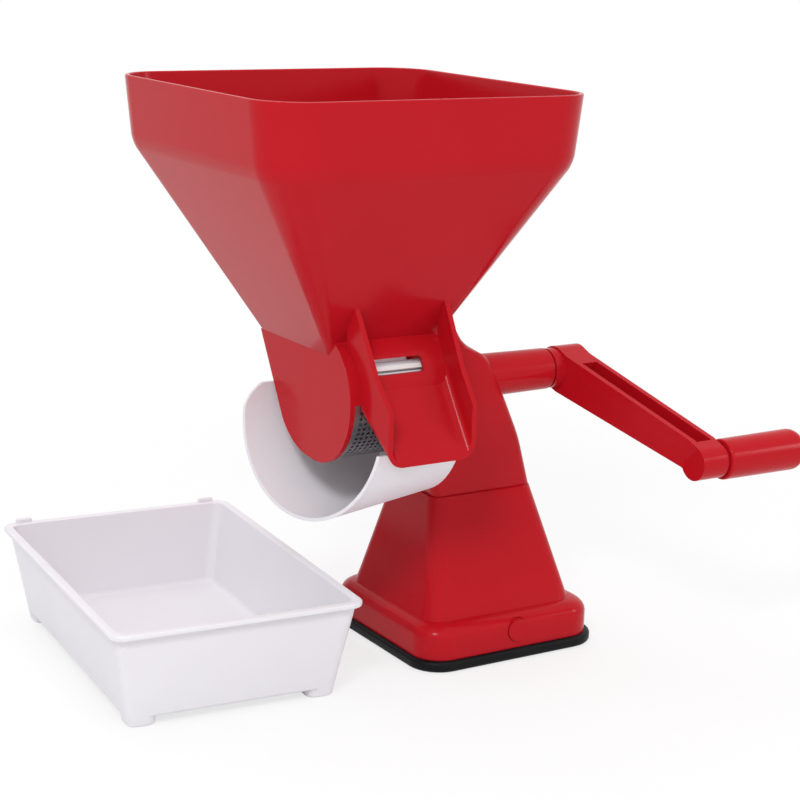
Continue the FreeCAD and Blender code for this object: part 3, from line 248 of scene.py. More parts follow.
def prism(bm, outline, start, end):
    # an outline of (y, z) points carried along X
    face = bm.faces.new([bm.verts.new((start, y, z)) for y, z in outline])
    made = bmesh.ops.extrude_face_region(bm, geom=[face])
    moved = [one for one in made["geom"] if isinstance(one, bmesh.types.BMVert)]
    bmesh.ops.translate(bm, verts=moved, vec=(end - start, 0, 0))
    openEdges = [edge for edge in bm.edges if edge.is_boundary]
    if openEdges:
        bmesh.ops.holes_fill(bm, edges=openEdges, sides=0)
    bmesh.ops.recalc_face_normals(bm, faces=bm.faces)


def turnedShape(bm, profile, spot, axis=(1, 0, 0), out=(0, 0, 1), steps=48, closed=False):
    # a profile of (along, out) points spun about an axis through a spot
    spot, axis, out = Vector(spot), Vector(axis), Vector(out)
    verts = [bm.verts.new(spot + axis * along + out * radius) for along, radius in profile]
    ends = list(zip(verts, verts[1:]))
    if closed:
        ends.append((verts[-1], verts[0]))
    edges = [bm.edges.new(pair) for pair in ends]
    bmesh.ops.spin(bm, geom=verts + edges, cent=spot, axis=axis, dvec=(0, 0, 0), angle=2 * math.pi,
                   steps=steps, use_merge=True, use_duplicate=False)
    bmesh.ops.remove_doubles(bm, verts=bm.verts, dist=mergeGap)
    bmesh.ops.recalc_face_normals(bm, faces=bm.faces)


def rod(radius, start, end, spot, axis=(1, 0, 0), out=(0, 0, 1), steps=48):
    bm = bmesh.new()
    turnedShape(bm, [(start, 0), (start, radius), (end, radius), (end, 0)], spot, axis, out, steps)
    return bm


def carve(bm, tool, operation="DIFFERENCE"):
    # takes one shape out of another, or adds it
    things = []
    for shape in (bm, tool):
        mesh = bpy.data.meshes.new("carving")
        shape.to_mesh(mesh)
        shape.free()
        thing = bpy.data.objects.new("carving", mesh)
        bpy.context.scene.collection.objects.link(thing)
        things.append(thing)
    step = things[0].modifiers.new("carve", "BOOLEAN")
    step.operation = operation
    step.object = things[1]
    step.solver = "EXACT"
    done = bmesh.new()
    done.from_object(things[0], bpy.context.evaluated_depsgraph_get())
    for thing in things:
        mesh = thing.data
        bpy.data.objects.remove(thing)
        bpy.data.meshes.remove(mesh)
    bmesh.ops.remove_doubles(done, verts=done.verts, dist=mergeGap)
    return done


def fuse(shapes):
    # makes one moulding of shapes that run into each other
    whole, *others = shapes
    for shape in others:
        whole = carve(whole, shape, "UNION")
    bmesh.ops.dissolve_degenerate(whole, dist=sliver, edges=whole.edges)
    return whole


def nodeCopy(node):
    # a copy of a CAD solid, with its loose triangles merged into whole faces
    bm = bmesh.new()
    bm.from_mesh(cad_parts[node].data)
    bmesh.ops.scale(bm, vec=(1 / mm,) * 3, verts=bm.verts)
    bmesh.ops.remove_doubles(bm, verts=bm.verts, dist=copyGap)
    bmesh.ops.dissolve_limit(bm, angle_limit=math.radians(1), verts=bm.verts, edges=bm.edges)
    return bm


def softCopy(node, soft):
    bm = nodeCopy(node)
    soften(bm, sharpEdges(bm), soft)
    bmesh.ops.dissolve_degenerate(bm, dist=fineSliver, edges=bm.edges)
    return bm


def addPiece(name, shapes, body, finish, replaced, smoothAngle=32):
    joined = bmesh.new()
    for bm in shapes:
        part = bpy.data.meshes.new("part")
        bm.to_mesh(part)
        bm.free()
        joined.from_mesh(part)
        bpy.data.meshes.remove(part)
    bmesh.ops.scale(joined, vec=(mm,) * 3, verts=joined.verts)
    for face in joined.faces:
        face.smooth = True
    mesh = bpy.data.meshes.new(name)
    joined.to_mesh(mesh)
    joined.free()
    mesh.set_sharp_from_angle(angle=math.radians(smoothAngle))
    mesh.materials.append(finish)
    piece = bpy.data.objects.new(name, mesh)
    bpy.context.scene.collection.objects.link(piece)
    evener = piece.modifiers.new("evenShading", "WEIGHTED_NORMAL")
    evener.keep_sharp = True
    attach(piece, body)
    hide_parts(*replaced)


# Hopper body: funnel, drum walls, peel slide, neck and bearing tube

hopper = dict(x=-88.5, rim=204, top=340, rimCorner=28, bandDepth=38.5, bandInset=4,
              throatTop=194, throatX=66, throatY=83.4, throatCorner=3, wall=2.6, lipSoft=1.0, crease=5)
# angles round the crank axis are in degrees, from +Y towards +Z
drum = dict(left=-121.5, right=-55.5, endWall=3, radius=38.8, bore=36.2, backReach=39.5, backDrop=23,
            bellyAngle=280, bellyRadius=43.3, nose=118, noseIn=1, sieveStart=178, sieveStop=318,
            slope=1.15, ledgeReach=42.6, step=0.15, soft=2.8)
slot = dict(x=-88, length=33, rise=20, height=8.4, corner=2.2, cut=(46, 74), soft=0.5)
slide = dict(shift=3.7, width=62, lipShift=5.4, lipWidth=57, rib=3, floor=2.6, corner=10, soft=0.9,
             start=(23.5, 66.5, 28, 3), bend=(49.5, 19, -8, -17.5), lip=(63.5, 1.5, -26.6, -29.3),
             solidLip=8, startPast=0.05, lipPast=0.1, headroom=20)
neck = dict(foot=97, left=-38.8, right=30.7, halfDepth=26, front=-41.3, back=11.5, inner=-56.5,
            waistIn=2.5, corner=5.5, waist=(130, 16.5), shoulder=(159, -1), gussetFoot=(182.5, -13),
            gussetBend=(193, -31), gussetTop=(211, -42), soft=7, gussetSoft=3.85)
tube = dict(start=-56.5, end=36, rootRadius=13.6, endRadius=12.4, bushRadius=9.05, bushDepth=10,
            bushGap=0.05, shaftRoom=6.5, sealEnd=-44.4, past=4, soft=1.0)


def hopperLevels(inset):
    # the throat, the crease under the rim's band, and the rim
    rim = hopper["rim"] / 2
    band = rim - hopper["bandInset"]
    rows = ((hopper["throatTop"], hopper["throatX"] / 2, hopper["throatY"] / 2, hopper["throatCorner"]),
            (hopper["top"] - hopper["bandDepth"], band, band, hopper["rimCorner"] - hopper["bandInset"]),
            (hopper["top"], rim, rim, hopper["rimCorner"]))
    return [(hopper["x"], 0, z, halfX - inset, halfY - inset, corner - inset)
            for z, halfX, halfY, corner in rows]


def hopperShell():
    bm = bmesh.new()
    loops = loft(bm, hopperLevels(0) + hopperLevels(hopper["wall"])[::-1], closed=True)
    soften(bm, loops[2] + loops[3], hopper["lipSoft"], 4)
    soften(bm, loops[1] + loops[4], hopper["crease"], 5)
    return bm


def hopperInside():
    # what runs into the hopper ends half way through its wall
    bm = bmesh.new()
    loft(bm, hopperLevels(hopper["wall"] / 2))
    return bm


def drumArc(first, last, radius, steps=24):
    return arcPoints((axisY, axisZ), radius, first, last, steps)


def drumPoint(angle, radius):
    return drumArc(angle, angle, radius, 1)[0]


def arcBetween(first, last, radius, steps):
    # an arc from one point to another, with its middle on the right of the way
    first, last = Vector(first), Vector(last)
    way = last - first
    aside = Vector((way.y, -way.x)).normalized()
    middle = (first + last) / 2 + aside * math.sqrt(radius ** 2 - (way.length / 2) ** 2)
    begin, end = [math.degrees(math.atan2(*(point - middle).yx)) for point in (first, last)]
    return arcPoints(middle, radius, begin, end, steps)


throatBack = (hopper["throatY"] / 2, hopper["throatTop"])
backCorner = (axisY + drum["backReach"], axisZ - drum["backDrop"])
bellyEnd = drumPoint(drum["bellyAngle"], drum["radius"])
belly = arcBetween(backCorner, bellyEnd, drum["bellyRadius"], 12)


def drumEnds():
    outline = [throatBack] + belly[:-1] + drumArc(drum["bellyAngle"], drum["nose"], drum["radius"], 40)
    outline.append((drum["noseIn"] - hopper["throatY"] / 2, hopper["throatTop"]))
    shapes = []
    for start, outer in ((drum["left"], drum["left"]), (drum["right"] - drum["endWall"], drum["right"])):
        bm = bmesh.new()
        prism(bm, outline, start, start + drum["endWall"])
        # the outer rim, without the edge under the hopper
        rim = [edge for edge in bm.edges
               if all(abs(vert.co.x - outer) < hair for vert in edge.verts)
               and not all(vert.co.z > hopper["throatTop"] - hair for vert in edge.verts)]
        soften(bm, rim, drum["soft"], 4)
        shapes.append(bm)
    return shapes


def drumFront():
    # the curved wall in front of the rotor, let into the end walls a step inside their rims, and the
    # peel slot through it
    inner, outer = drum["left"] + drum["endWall"] / 2, drum["right"] - drum["endWall"] / 2
    bm = bmesh.new()
    prism(bm, drumArc(drum["nose"], drum["sieveStart"], drum["radius"] - drum["step"])
          + drumArc(drum["sieveStart"], drum["nose"], drum["bore"]), inner, outer)
    cut = bmesh.new()
    loft(cut, [(slot["x"], axisZ + slot["rise"], out, slot["length"] / 2, slot["height"] / 2,
                slot["corner"]) for out in slot["cut"]])
    upright = Matrix.Rotation(math.radians(90), 3, "X")
    bmesh.ops.rotate(cut, verts=cut.verts, cent=(0, 0, 0), matrix=upright)
    bm = carve(bm, cut)
    soften(bm, sharpEdges(bm, angle=60), slot["soft"], 2)
    return bm


def drumBack():
    # the sloping wall behind the rotor, and the ledge that the sieve is screwed under
    inner, outer = drum["left"] + drum["endWall"], drum["right"] - drum["endWall"]
    wall, stop = hopper["wall"], drum["sieveStop"]
    across = wall * drum["slope"]  # the wall's thickness, measured level
    lean = (throatBack[0] - backCorner[0]) / (throatBack[1] - backCorner[1])
    ledgeTop = backCorner[1] + wall
    ledge = [drumPoint(stop, drum["ledgeReach"]), drumPoint(stop, drum["bore"] - wall),
             (axisY + drum["bore"] / 2, ledgeTop)]
    inside = [(backCorner[0] + lean * wall - across, ledgeTop), (throatBack[0] - across, throatBack[1])]
    bm = bmesh.new()
    prism(bm, [throatBack] + belly[:4] + ledge + inside, inner, outer)
    return bm


def slideLoop(bm, reach, left, right, low, high, corner):
    # an upright rectangle of edges with its two lower corners rounded
    before = set(bm.faces)
    spots = ((left, low), (right, low), (right, high), (left, high))
    verts = [bm.verts.new((x, axisY - reach, axisZ + z)) for x, z in spots]
    bm.faces.new(verts)
    return cornerLoop(bm, before, verts[:2], corner)


def between(near, far, share):
    return [first + (last - first) * share for first, last in zip(near, far)]


def slideLevels():
    # the reach, rib top, floor and rib foot as sized, with the left and right outer faces added
    rows = [list(slide[key]) for key in ("start", "bend", "lip")]
    for row in rows:
        share = (row[0] - rows[0][0]) / (rows[2][0] - rows[0][0])
        middle = hopper["x"] + slide["shift"] + (slide["lipShift"] - slide["shift"]) * share
        half = (slide["width"] + (slide["lipWidth"] - slide["width"]) * share) / 2
        row += [middle - half, middle + half]
    return rows


def peelSlide():
    start, bend, lip = slideLevels()
    rib, corner = slide["rib"], slide["corner"]
    beforeStart = between(start, bend, -slide["startPast"])
    pastLip = between(bend, lip, 1 + slide["lipPast"])
    nearLip = between(bend, lip, 1 - slide["solidLip"] / (lip[0] - bend[0]))
    high = start[1] + slide["headroom"]
    bm = bmesh.new()
    joinLoops(bm, [slideLoop(bm, reach, left, right, foot, top, corner)
                   for reach, top, floor, foot, left, right in (start, bend, lip)])
    trough = bmesh.new()
    joinLoops(trough, [slideLoop(trough, reach, left + rib, right - rib, floor, high, corner - rib)
                       for reach, top, floor, foot, left, right in (beforeStart, bend, pastLip)])
    bm = carve(bm, trough)
    hollow = bmesh.new()
    joinLoops(hollow, [slideLoop(hollow, reach, left + rib, right - rib, foot - corner,
                                 floor - slide["floor"], 0)
                       for reach, top, floor, foot, left, right in (beforeStart, bend, nearLip)])
    bm = carve(bm, hollow)
    # the slide ends half way through the walls that it joins
    bm = carve(bm, hopperInside())
    halfWay = (drum["bore"] + drum["radius"]) / 2
    bm = carve(bm, rod(halfWay, drum["left"], drum["right"], (0, axisY, axisZ), steps=96))
    soften(bm, sharpEdges(bm, angle=40), slide["soft"])
    return bm


def neckBlock():
    # from the pillar's deck up to the gusset under the hopper, bored for the seal and the shaft
    waistFront = (neck["front"] - neck["halfDepth"]) / 2
    waistBack = (neck["back"] + neck["halfDepth"]) / 2
    rows = [(neck["foot"], neck["left"], neck["right"], -neck["halfDepth"], neck["halfDepth"]),
            (neck["waist"][0], neck["inner"] + neck["waistIn"], neck["waist"][1], waistFront, waistBack)]
    for key in ("shoulder", "gussetFoot", "gussetBend", "gussetTop"):
        height, right = neck[key]
        rows.append((height, neck["inner"], right, neck["front"], neck["back"]))
    bm = bmesh.new()
    loops = loft(bm, [((left + right) / 2, (front + back) / 2, height, (right - left) / 2,
                       (back - front) / 2, neck["corner"]) for height, left, right, front, back in rows])
    soften(bm, loops[1] + loops[2], neck["soft"], 5)
    soften(bm, loops[3] + loops[4], neck["gussetSoft"], 4)
    bm = carve(bm, hopperInside())
    spot, past = (0, axisY, axisZ), tube["past"]
    bm = carve(bm, rod(tube["bushRadius"], neck["inner"] - past, tube["sealEnd"], spot))
    return carve(bm, rod(tube["shaftRoom"], tube["sealEnd"] - past, tube["end"] + past, spot))


def bearingTube():
    soft = tube["soft"]
    end = [(tube["end"] - soft + along, tube["endRadius"] - soft + out)
           for along, out in arcPoints((0, 0), soft, 90, 0, 4)]
    bushStart = tube["end"] - tube["bushDepth"] - tube["bushGap"]
    bm = bmesh.new()
    turnedShape(bm, [(tube["start"], tube["rootRadius"])] + end
                + [(tube["end"], tube["bushRadius"]), (bushStart, tube["bushRadius"]),
                   (bushStart, tube["shaftRoom"]), (tube["start"], tube["shaftRoom"])],
                (0, axisY, axisZ), steps=72, closed=True)
    return bm


hopperShapes = [hopperShell(), *drumEnds(), drumFront(), drumBack(), peelSlide(), neckBlock(),
                bearingTube()]
addPiece("hopperBody", [fuse(hopperShapes)], "frame", redPlastic, ["hopper_body"],
         smoothAngle=20)
print("hopper body made")


# Foot and pillar

foot = dict(halfX=61, halfY=58.5, corner=18, low=6.7, high=27.2, roundDepth=8.0, roundSteps=6, wall=3,
            pillarLeft=-51.5, pillarRight=48.5, pillarHalf=45.5, pillarCorner=9, flare=3, flareCorner=13,
            flareTop=34.2, topLeft=-40, topRight=31.9, topHalf=27.2, top=97, flareSoft=6, deckSoft=0.8)
axle = dict(x=2.3, z=17.7, radius=7.0, journal=5.2, gap=0.25, outside=4, inside=9)


def baseLevels(inset):
    # the foot's wall rounds over, all the way in to the flare of the pillar
    wall = (-foot["halfX"], foot["halfX"], foot["halfY"], foot["corner"])
    flare = (foot["pillarLeft"] - foot["flare"], foot["pillarRight"] + foot["flare"],
             foot["pillarHalf"] + foot["flare"], foot["flareCorner"])
    rows = [(foot["low"] - inset, *wall)]
    for rise, drawn in arcPoints((0, 0), 1, -90, 0, foot["roundSteps"]):
        height = foot["high"] - inset - foot["roundDepth"] * (1 - rise)
        rows.append((height, *between(flare, wall, -drawn)))
    corner = foot["pillarCorner"]
    rows += [(foot["flareTop"], foot["pillarLeft"], foot["pillarRight"], foot["pillarHalf"], corner),
             (foot["top"] - inset, foot["topLeft"], foot["topRight"], foot["topHalf"], corner)]
    return [((left + right) / 2, 0, z, (right - left) / 2 - inset, half - inset, corner - inset)
            for z, left, right, half, corner in rows]


def baseHousing():
    bm = bmesh.new()
    loops = loft(bm, baseLevels(0))
    soften(bm, loops[-1], foot["deckSoft"])
    soften(bm, loops[-2], foot["flareSoft"], 5)
    room = bmesh.new()
    loft(room, baseLevels(foot["wall"]))
    bm = carve(bm, room)
    # the axle's holes, through the front wall and through the back one
    spot, along, up = (axle["x"], 0, axle["z"]), (0, 1, 0), (0, 0, 1)
    outside, inside = foot["halfY"] + axle["outside"], foot["halfY"] - axle["inside"]
    bm = carve(bm, rod(axle["radius"] + axle["gap"], -outside, -inside, spot, along, up))
    return carve(bm, rod(axle["journal"] + axle["gap"], inside, outside, spot, along, up))


addPiece("baseHousing", [baseHousing()], "frame", redPlastic, ["base_housing"])

pad = dict(halfX=64, halfY=61.5, corner=20, high=6.7, soft=2.2, rim=9, slope=4, hollow=1.1)


def suctionPad():
    bm = bmesh.new()
    loops = loft(bm, [(0, 0, z, pad["halfX"], pad["halfY"], pad["corner"]) for z in (0, pad["high"])])
    under = next(face for face in bm.faces if face.normal.z < -0.9)
    for wide, deep in ((pad["rim"], 0), (pad["slope"], -pad["hollow"])):
        bmesh.ops.inset_region(bm, faces=[under], thickness=wide, depth=deep, use_even_offset=True)
    soften(bm, loops[0] + loops[1], pad["soft"], 5)
    return bm


addPiece("suctionPad", [suctionPad()], "frame", blackRubber, ["suction_pad"])
print("foot made")


# Chute, sieve and the screws that hold them

chute = dict(soft=0.75, screwX=-59.5, screwDrop=48.5)
addPiece("chuteShell", [softCopy("chute", chute["soft"])], "frame", whitePlastic,
         ["chute"])

sieve = dict(left=-118.1, right=-58.9, inner=36.2, thickness=0.9, columns=18, rows=27, hole=1.0,
             web=0.6, flange=6.6, flangeSoft=0.25)


def sieveSheet():
    # a flat pierced sheet, rolled round the crank axis
    span = math.radians(drum["sieveStop"] - drum["sieveStart"])
    length = sieve["right"] - sieve["left"]
    middle = (sieve["left"] + sieve["right"]) / 2
    flat = Matrix.Translation((middle, 0, 0)) @ Matrix.Diagonal((length / 2, span / 2, 1, 1))
    bm = bmesh.new()
    bmesh.ops.create_grid(bm, x_segments=sieve["columns"], y_segments=sieve["rows"], size=1, matrix=flat)
    inside = [face for face in bm.faces if not any(edge.is_boundary for edge in face.edges)]
    bmesh.ops.scale(bm, vec=(1, sieve["inner"], 1), verts=bm.verts)
    bmesh.ops.inset_individual(bm, faces=inside, thickness=sieve["web"], depth=0)
    rims = list(dict.fromkeys(edge for face in inside for edge in face.edges))
    bmesh.ops.subdivide_edges(bm, edges=rims, cuts=1)
    for face in inside:
        centre = face.calc_center_median()
        for vert in face.verts:
            vert.co = centre + (vert.co - centre).normalized() * sieve["hole"]
    bmesh.ops.delete(bm, geom=inside, context="FACES_ONLY")
    bmesh.ops.recalc_face_normals(bm, faces=bm.faces)
    bmesh.ops.solidify(bm, geom=bm.faces[:], thickness=sieve["thickness"])
    low = min(vert.co.z for vert in bm.verts)
    start = math.radians(drum["sieveStart"]) + span / 2
    for vert in bm.verts:
        turn = start + vert.co.y / sieve["inner"]
        out = sieve["inner"] + vert.co.z - low
        vert.co = (vert.co.x, axisY + out * math.cos(turn), axisZ + out * math.sin(turn))
    bmesh.ops.recalc_face_normals(bm, faces=bm.faces)
    return bm


def sieveFlange():
    # the strip that is screwed under the ledge
    inner, thickness = sieve["inner"], sieve["thickness"]
    outer = inner + thickness + sieve["flange"]
    bm = bmesh.new()
    prism(bm, [(inner, -thickness), (outer, -thickness), (outer, 0), (inner, 0)],
          sieve["left"], sieve["right"])
    bmesh.ops.rotate(bm, verts=bm.verts, cent=(0, 0, 0),
                     matrix=Matrix.Rotation(math.radians(drum["sieveStop"]), 3, "X"))
    bmesh.ops.translate(bm, verts=bm.verts, vec=(0, axisY, axisZ))
    soften(bm, sharpEdges(bm), sieve["flangeSoft"], 2)
    return bm


addPiece("sieveDrum", [fuse([sieveSheet(), sieveFlange()])], "frame", sieveSteel, ["sieve"])

# shares of the head's and the shank's sizes, but for headEdge; domeTurns are in radians
screw = dict(dome=0.45, domeTurns=(0.5, 0.95, 1.3), domeFullness=0.6, tip=0.6, headEdge=0.2,
             crossLength=1.3, crossWidth=0.24, crossDepth=0.45, steps=32)


def screwShape(spot, way, headRadius, head, radius, shank):
    # a domed head with a cross slot; way points out of the head
    edge, dome = screw["headEdge"], head * screw["dome"]
    profile = [(-shank, 0), (-shank, radius * screw["tip"]), (-shank + radius, radius), (0, radius),
               (0, headRadius - edge), (edge, headRadius), (head - dome, headRadius)]
    profile += [(head - dome + dome * math.sin(turn), headRadius * math.cos(turn) ** screw["domeFullness"])
                for turn in screw["domeTurns"]]
    profile.append((head, 0))
    bm = bmesh.new()
    turnedShape(bm, profile, (0, 0, 0), axis=(0, 0, 1), out=(1, 0, 0), steps=screw["steps"])
    size = Matrix.Diagonal((headRadius * screw["crossLength"], headRadius * screw["crossWidth"],
                            2 * head * screw["crossDepth"], 1))
    for turn in (0, 90):
        spin = Matrix.Rotation(math.radians(turn), 4, "Z") @ Matrix.Translation((0, 0, head))
        cross = bmesh.new()
        bmesh.ops.create_cube(cross, size=1, matrix=spin @ size)
        bm = carve(bm, cross)
    lie = Vector((0, 0, 1)).rotation_difference(Vector(way)).to_matrix()
    bmesh.ops.rotate(bm, verts=bm.verts, cent=(0, 0, 0), matrix=lie)
    bmesh.ops.translate(bm, verts=bm.verts, vec=spot)
    return bm


sieveScrew = dict(headRadius=2.34, head=1.4, radius=1.3, shank=6)
sieveScrewPlace = dict(x=(-108.5, -68.5), out=40.4, under=1.0)
bodyScrew = dict(headRadius=3.8, head=2.6, radius=1.9, shank=15)
bodyScrewPlace = dict(x=(-26, 16), y=(-15, 15), z=94)


def sieveScrews():
    turn = math.radians(drum["sieveStop"])
    under = Vector((0, math.sin(turn), -math.cos(turn)))
    out = Vector((0, math.cos(turn), math.sin(turn)))
    shift = out * sieveScrewPlace["out"] + under * sieveScrewPlace["under"]
    return [screwShape(Vector((x, axisY, axisZ)) + shift, under, **sieveScrew)
            for x in sieveScrewPlace["x"]]


def bodyScrews():
    return [screwShape((x, y, bodyScrewPlace["z"]), (0, 0, -1), **bodyScrew)
            for x in bodyScrewPlace["x"] for y in bodyScrewPlace["y"]]


chuteScrewSpot = (chute["screwX"], axisY, axisZ - chute["screwDrop"])
addPiece("sieveScrews", sieveScrews(), "frame", brightSteel, ["sieve_screws"])
addPiece("chuteScrew", [screwShape(chuteScrewSpot, (-1, 0, 0), **bodyScrew)], "frame", brightSteel,
         ["chute_screw"])
addPiece("bodyScrews", bodyScrews(), "frame", brightSteel, ["body_screws"])
print("chute and sieve made")


# Crank, rotor and grip

crank = dict(soft=1.1, screwX=61)
crankScrew = dict(headRadius=6.0, head=3.2, radius=1.9, shank=13)
addPiece("crankArm", [softCopy("crank_arm", crank["soft"])], "crank", redPlastic,
         ["crank_arm"])
addPiece("crankScrew", [screwShape((crank["screwX"], axisY, axisZ), (1, 0, 0), **crankScrew)], "crank",
         brightSteel, ["crank_screw"])

rotor = dict(soft=0.8, bladeSoft=0.4)
addPiece("rotorBody", [softCopy("rotor", rotor["soft"])], "crank", whitePlastic,
         ["rotor"])
addPiece("rotorBlades", [softCopy("rotor_blades", rotor["bladeSoft"])], "crank", bladeRubber,
         ["rotor_blades"])

grip = dict(start=89.1, end=149.1, rootRadius=12.0, radius=12.3, endRound=9, rootRound=1.2,
            bore=3.5, headRoom=5.3, headStart=136.4, headEnd=141.8)


def handGrip():
    # turned round the middle of its CAD solid, with the room for the pin's head inside
    low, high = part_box("hand_grip")
    spot = (0, (low[1] + high[1]) / 2 / mm, (low[2] + high[2]) / 2 / mm)
    rootRound, endRound = grip["rootRound"], grip["endRound"]
    profile = [(grip["headEnd"], 0), (grip["headEnd"], grip["headRoom"]),
               (grip["headStart"], grip["headRoom"]), (grip["headStart"], grip["bore"]),
               (grip["start"], grip["bore"])]
    profile += arcPoints((grip["start"] + rootRound, grip["rootRadius"] - rootRound), rootRound, 180, 90, 4)
    profile += arcPoints((grip["end"] - endRound, grip["radius"] - endRound), endRound, 90, 0, 12)
    profile.append((grip["end"], 0))
    bm = bmesh.new()
    turnedShape(bm, profile, spot, steps=72)
    return bm


addPiece("handGrip", [handGrip()], "grip", redPlastic, ["hand_grip"])
print("crank made")


# Suction lever and its axle

lever = dict(soft=1.2, axleSoft=0.5, screwY=64.5)
leverScrew = dict(bodyScrew, shank=12.4)
addPiece("suctionLever", [softCopy("suction_lever", lever["soft"])], "lever", redPlastic,
         ["suction_lever"])
addPiece("camAxle", [softCopy("cam_axle", lever["axleSoft"])], "lever", redPlastic,
         ["cam_axle"])
addPiece("leverScrew", [screwShape((axle["x"], lever["screwY"], axle["z"]), (0, 1, 0), **leverScrew)],
         "lever", brightSteel, ["lever_screw"])
print("suction lever made")


# Drip tray

tray = dict(x=-177, y=42, yaw=-4.6, halfX=74.5, halfY=108.5, height=58, inset=9, corner=9, wall=2.2,
            lip=3, lipDepth=3, lipSoft=0.9, floorSoft=3.2, underSoft=1.5,
            footSize=17, footHeight=5, footProud=0.03, footSoft=1.0,
            tabLength=10, tabHeight=2.6, tabThickness=3, tabCorner=1.2, tabSoft=0.9,
            tabRoot=0.3, tabIn=0.05)


def trayShell():
    lip, wall, inset = tray["lip"], tray["wall"], tray["inset"]
    high, lipLow, low = tray["height"], tray["height"] - tray["lipDepth"], tray["footHeight"]
    halfX, halfY = tray["halfX"] - lip, tray["halfY"] - lip
    corner, lipCorner = tray["corner"] - lip, tray["corner"]
    underLip = inset * tray["lipDepth"] / (high - low)
    # height, draw in and corner: up the outside, over the lip and down the inside
    rows = [(low, inset, corner), (lipLow, underLip, corner), (lipLow + hair, -lip, lipCorner),
            (high, -lip, lipCorner), (high - hair, wall, corner), (low + wall, inset + wall, corner)]
    bm = bmesh.new()
    loops = loft(bm, [(0, 0, z, halfX - drawn, halfY - drawn, rounding) for z, drawn, rounding in rows])
    soften(bm, loops[2] + loops[3] + loops[4], tray["lipSoft"])
    soften(bm, loops[5], tray["floorSoft"], 5)
    soften(bm, loops[0], tray["underSoft"])
    return bm


def trayFeet():
    # the walls run on down into the feet, with the same draft
    draft = tray["inset"] / (tray["height"] - tray["footHeight"])
    rise = tray["footHeight"] + tray["underSoft"]
    corner = tray["corner"] - tray["lip"]
    wallFoot = tray["footProud"] - tray["lip"] - tray["inset"]
    shapes = []
    for sideX in (-1, 1):
        for sideY in (-1, 1):
            rows = []
            for z in (0, rise):
                half = (tray["footSize"] + draft * z) / 2
                out = wallFoot + draft * (z - tray["footHeight"]) - half
                x, y = (tray["halfX"] + out) * sideX, (tray["halfY"] + out) * sideY
                rows.append((x, y, z, half, half, corner))
            bm = bmesh.new()
            loops = loft(bm, rows)
            soften(bm, loops[0], tray["footSoft"])
            shapes.append(bm)
    return shapes


def trayTabs():
    # two tabs stand up from the lip at the back
    halfLength, halfThickness = tray["tabLength"] / 2, tray["tabThickness"] / 2
    x, y = tray["halfX"] - tray["corner"] - halfLength, tray["halfY"] - halfThickness - tray["tabIn"]
    low, high = tray["height"] - tray["lipDepth"] + tray["tabRoot"], tray["height"] + tray["tabHeight"]
    shapes = []
    for side in (-1, 1):
        bm = bmesh.new()
        loops = loft(bm, [(x * side, y, z, halfLength, halfThickness, tray["tabCorner"])
                          for z in (low, high)])
        soften(bm, loops[1], tray["tabSoft"])
        shapes.append(bm)
    return shapes


def dripTray():
    bm = fuse([trayShell(), *trayFeet(), *trayTabs()])
    yaw = Matrix.Rotation(math.radians(tray["yaw"]), 3, "Z")
    bmesh.ops.rotate(bm, verts=bm.verts, cent=(0, 0, 0), matrix=yaw)
    bmesh.ops.translate(bm, verts=bm.verts, vec=(tray["x"], tray["y"], 0))
    return bm


addPiece("dripTray", [dripTray()], "tray", whitePlastic, ["drip_tray"])
print("tray made")


# The inner solids that show only through gaps keep their CAD shape

innerFinishes = dict(drive_shaft=brightSteel, grip_pin=brightSteel, thrust_washer=bushPlastic,
                     shaft_bush=bushPlastic, tube_bush=bushPlastic, pivot_bush=bushPlastic,
                     shaft_seal=blackRubber, pad_stud=bushPlastic)
for node, finish in innerFinishes.items():
    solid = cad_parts[node]
    solid.data.materials.clear()
    solid.data.materials.append(finish)
print("inner pieces painted")


# Floor, light and camera

# lengths here are in metres
studio = dict(floorHalf=1.6, floorDrop=0.0003, floorColour=0.86, mottle=0.02, floorGlow=0.70,
              shadowNear=0.28, shadowFar=0.75, lowGlow=0.50, highGlow=0.86, highFrom=0.55)


def studioFloor():
    bm = bmesh.new()
    bmesh.ops.create_grid(bm, x_segments=1, y_segments=1, size=studio["floorHalf"])
    bmesh.ops.translate(bm, verts=bm.verts, vec=(0, 0, -studio["floorDrop"]))
    mesh = bpy.data.meshes.new("studioFloor")
    bm.to_mesh(mesh)
    bm.free()
    floor = bpy.data.objects.new("studioFloor", mesh)
    bpy.context.scene.collection.objects.link(floor)
    paint = newPaint("studioPaper")
    seen = paint.backgroundRays()
    where = paint.node("ShaderNodeTexCoord", out="Object")
    tint = paint.noise(where, scale=3) * studio["mottle"] + (studio["floorColour"] - studio["mottle"] / 2)
    matt = paint.node("ShaderNodeBsdfDiffuse", {}, {"Color": tint})
    glow = paint.node("ShaderNodeEmission", {}, {"Strength": 1.0})
    # away from the mill the paper is plain white, and near it keeps the shadow
    away = paint.node("ShaderNodeVectorMath", {"operation": "LENGTH"}, {0: where}, out="Value")
    plain = paint.node("ShaderNodeMapRange", {"interpolation_type": "SMOOTHSTEP"},
                       {0: away, 1: studio["shadowNear"], 2: studio["shadowFar"],
                        3: studio["floorGlow"], 4: 1.0})
    mixed = paint.node("ShaderNodeMixShader", {}, {0: seen * plain, 1: matt, 2: glow})
    paint.node("ShaderNodeOutputMaterial", {}, {"Surface": mixed})
    mesh.materials.append(paint.owner)


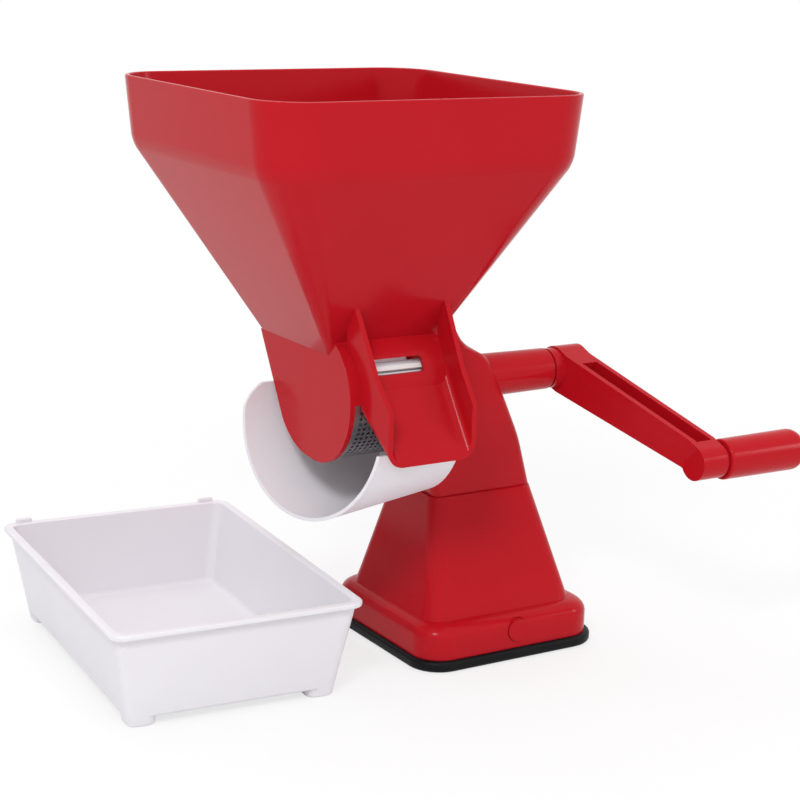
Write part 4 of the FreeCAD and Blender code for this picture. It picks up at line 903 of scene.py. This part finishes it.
def studioWorld():
    world = bpy.data.worlds.new("studioWorld")
    bpy.context.scene.world = world
    paint = Paint(world)
    seen = paint.backgroundRays()
    # a dim room with a pale ceiling, and plain white behind the mill
    way = paint.node("ShaderNodeTexCoord", out="Generated")
    height = paint.node("ShaderNodeSeparateXYZ", {}, {0: way}, out="Z")
    room = paint.node("ShaderNodeMapRange", {}, {0: height, 1: 0.0, 2: studio["highFrom"],
                                                 3: studio["lowGlow"], 4: studio["highGlow"]})
    back = paint.node("ShaderNodeBackground", {},
                      {"Color": (1, 1, 1, 1), "Strength": (1 - seen) * room + seen})
    paint.node("ShaderNodeOutputWorld", {}, {"Surface": back})


lamps = {
    "keyLamp": dict(spot=(-1.0, -0.95, 1.25), aim=(-0.05, 0, 0.12), size=0.36, power=11),
    "sideLamp": dict(spot=(1.15, -0.95, 0.65), aim=(0, 0, 0.12), size=0.36, power=3),
    "topLamp": dict(spot=(-0.15, 0.35, 1.45), aim=(-0.08, 0, 0.2), size=0.9, power=4),
}


def addLamps():
    for name, one in lamps.items():
        lamp = bpy.data.lights.new(name, "AREA")
        lamp.shape = "SQUARE"
        lamp.size = one["size"]
        lamp.energy = one["power"]
        thing = bpy.data.objects.new(name, lamp)
        way = Vector(one["aim"]) - Vector(one["spot"])
        turn = way.to_track_quat("-Z", "Y").to_matrix().to_4x4()
        thing.matrix_world = Matrix.Translation(one["spot"]) @ turn
        bpy.context.scene.collection.objects.link(thing)


cameraSet = dict(spot=(-0.6390, -0.9546, 0.4278), azimuth=-31.7, elevation=13.8, roll=1.6, lens=87.29,
                 sensor=36, reach=50)


def addCamera():
    turn, lift, roll = [math.radians(cameraSet[key]) for key in ("azimuth", "elevation", "roll")]
    back = Vector((math.sin(turn) * math.cos(lift), -math.cos(turn) * math.cos(lift), math.sin(lift)))
    side = Vector((0, 0, 1)).cross(back).normalized()
    up = back.cross(side)
    side, up = math.cos(roll) * side + math.sin(roll) * up, math.cos(roll) * up - math.sin(roll) * side
    lens = bpy.data.cameras.new("camera")
    lens.lens = cameraSet["lens"]
    lens.sensor_width = cameraSet["sensor"]
    lens.clip_end = cameraSet["reach"]
    camera = bpy.data.objects.new("camera", lens)
    pose = Matrix((side, up, back)).transposed().to_4x4()
    camera.matrix_world = Matrix.Translation(cameraSet["spot"]) @ pose
    bpy.context.scene.collection.objects.link(camera)
    bpy.context.scene.camera = camera


studioFloor()
studioWorld()
addLamps()
addCamera()
bpy.context.scene.view_settings.view_transform = "Standard"
print("studio made")
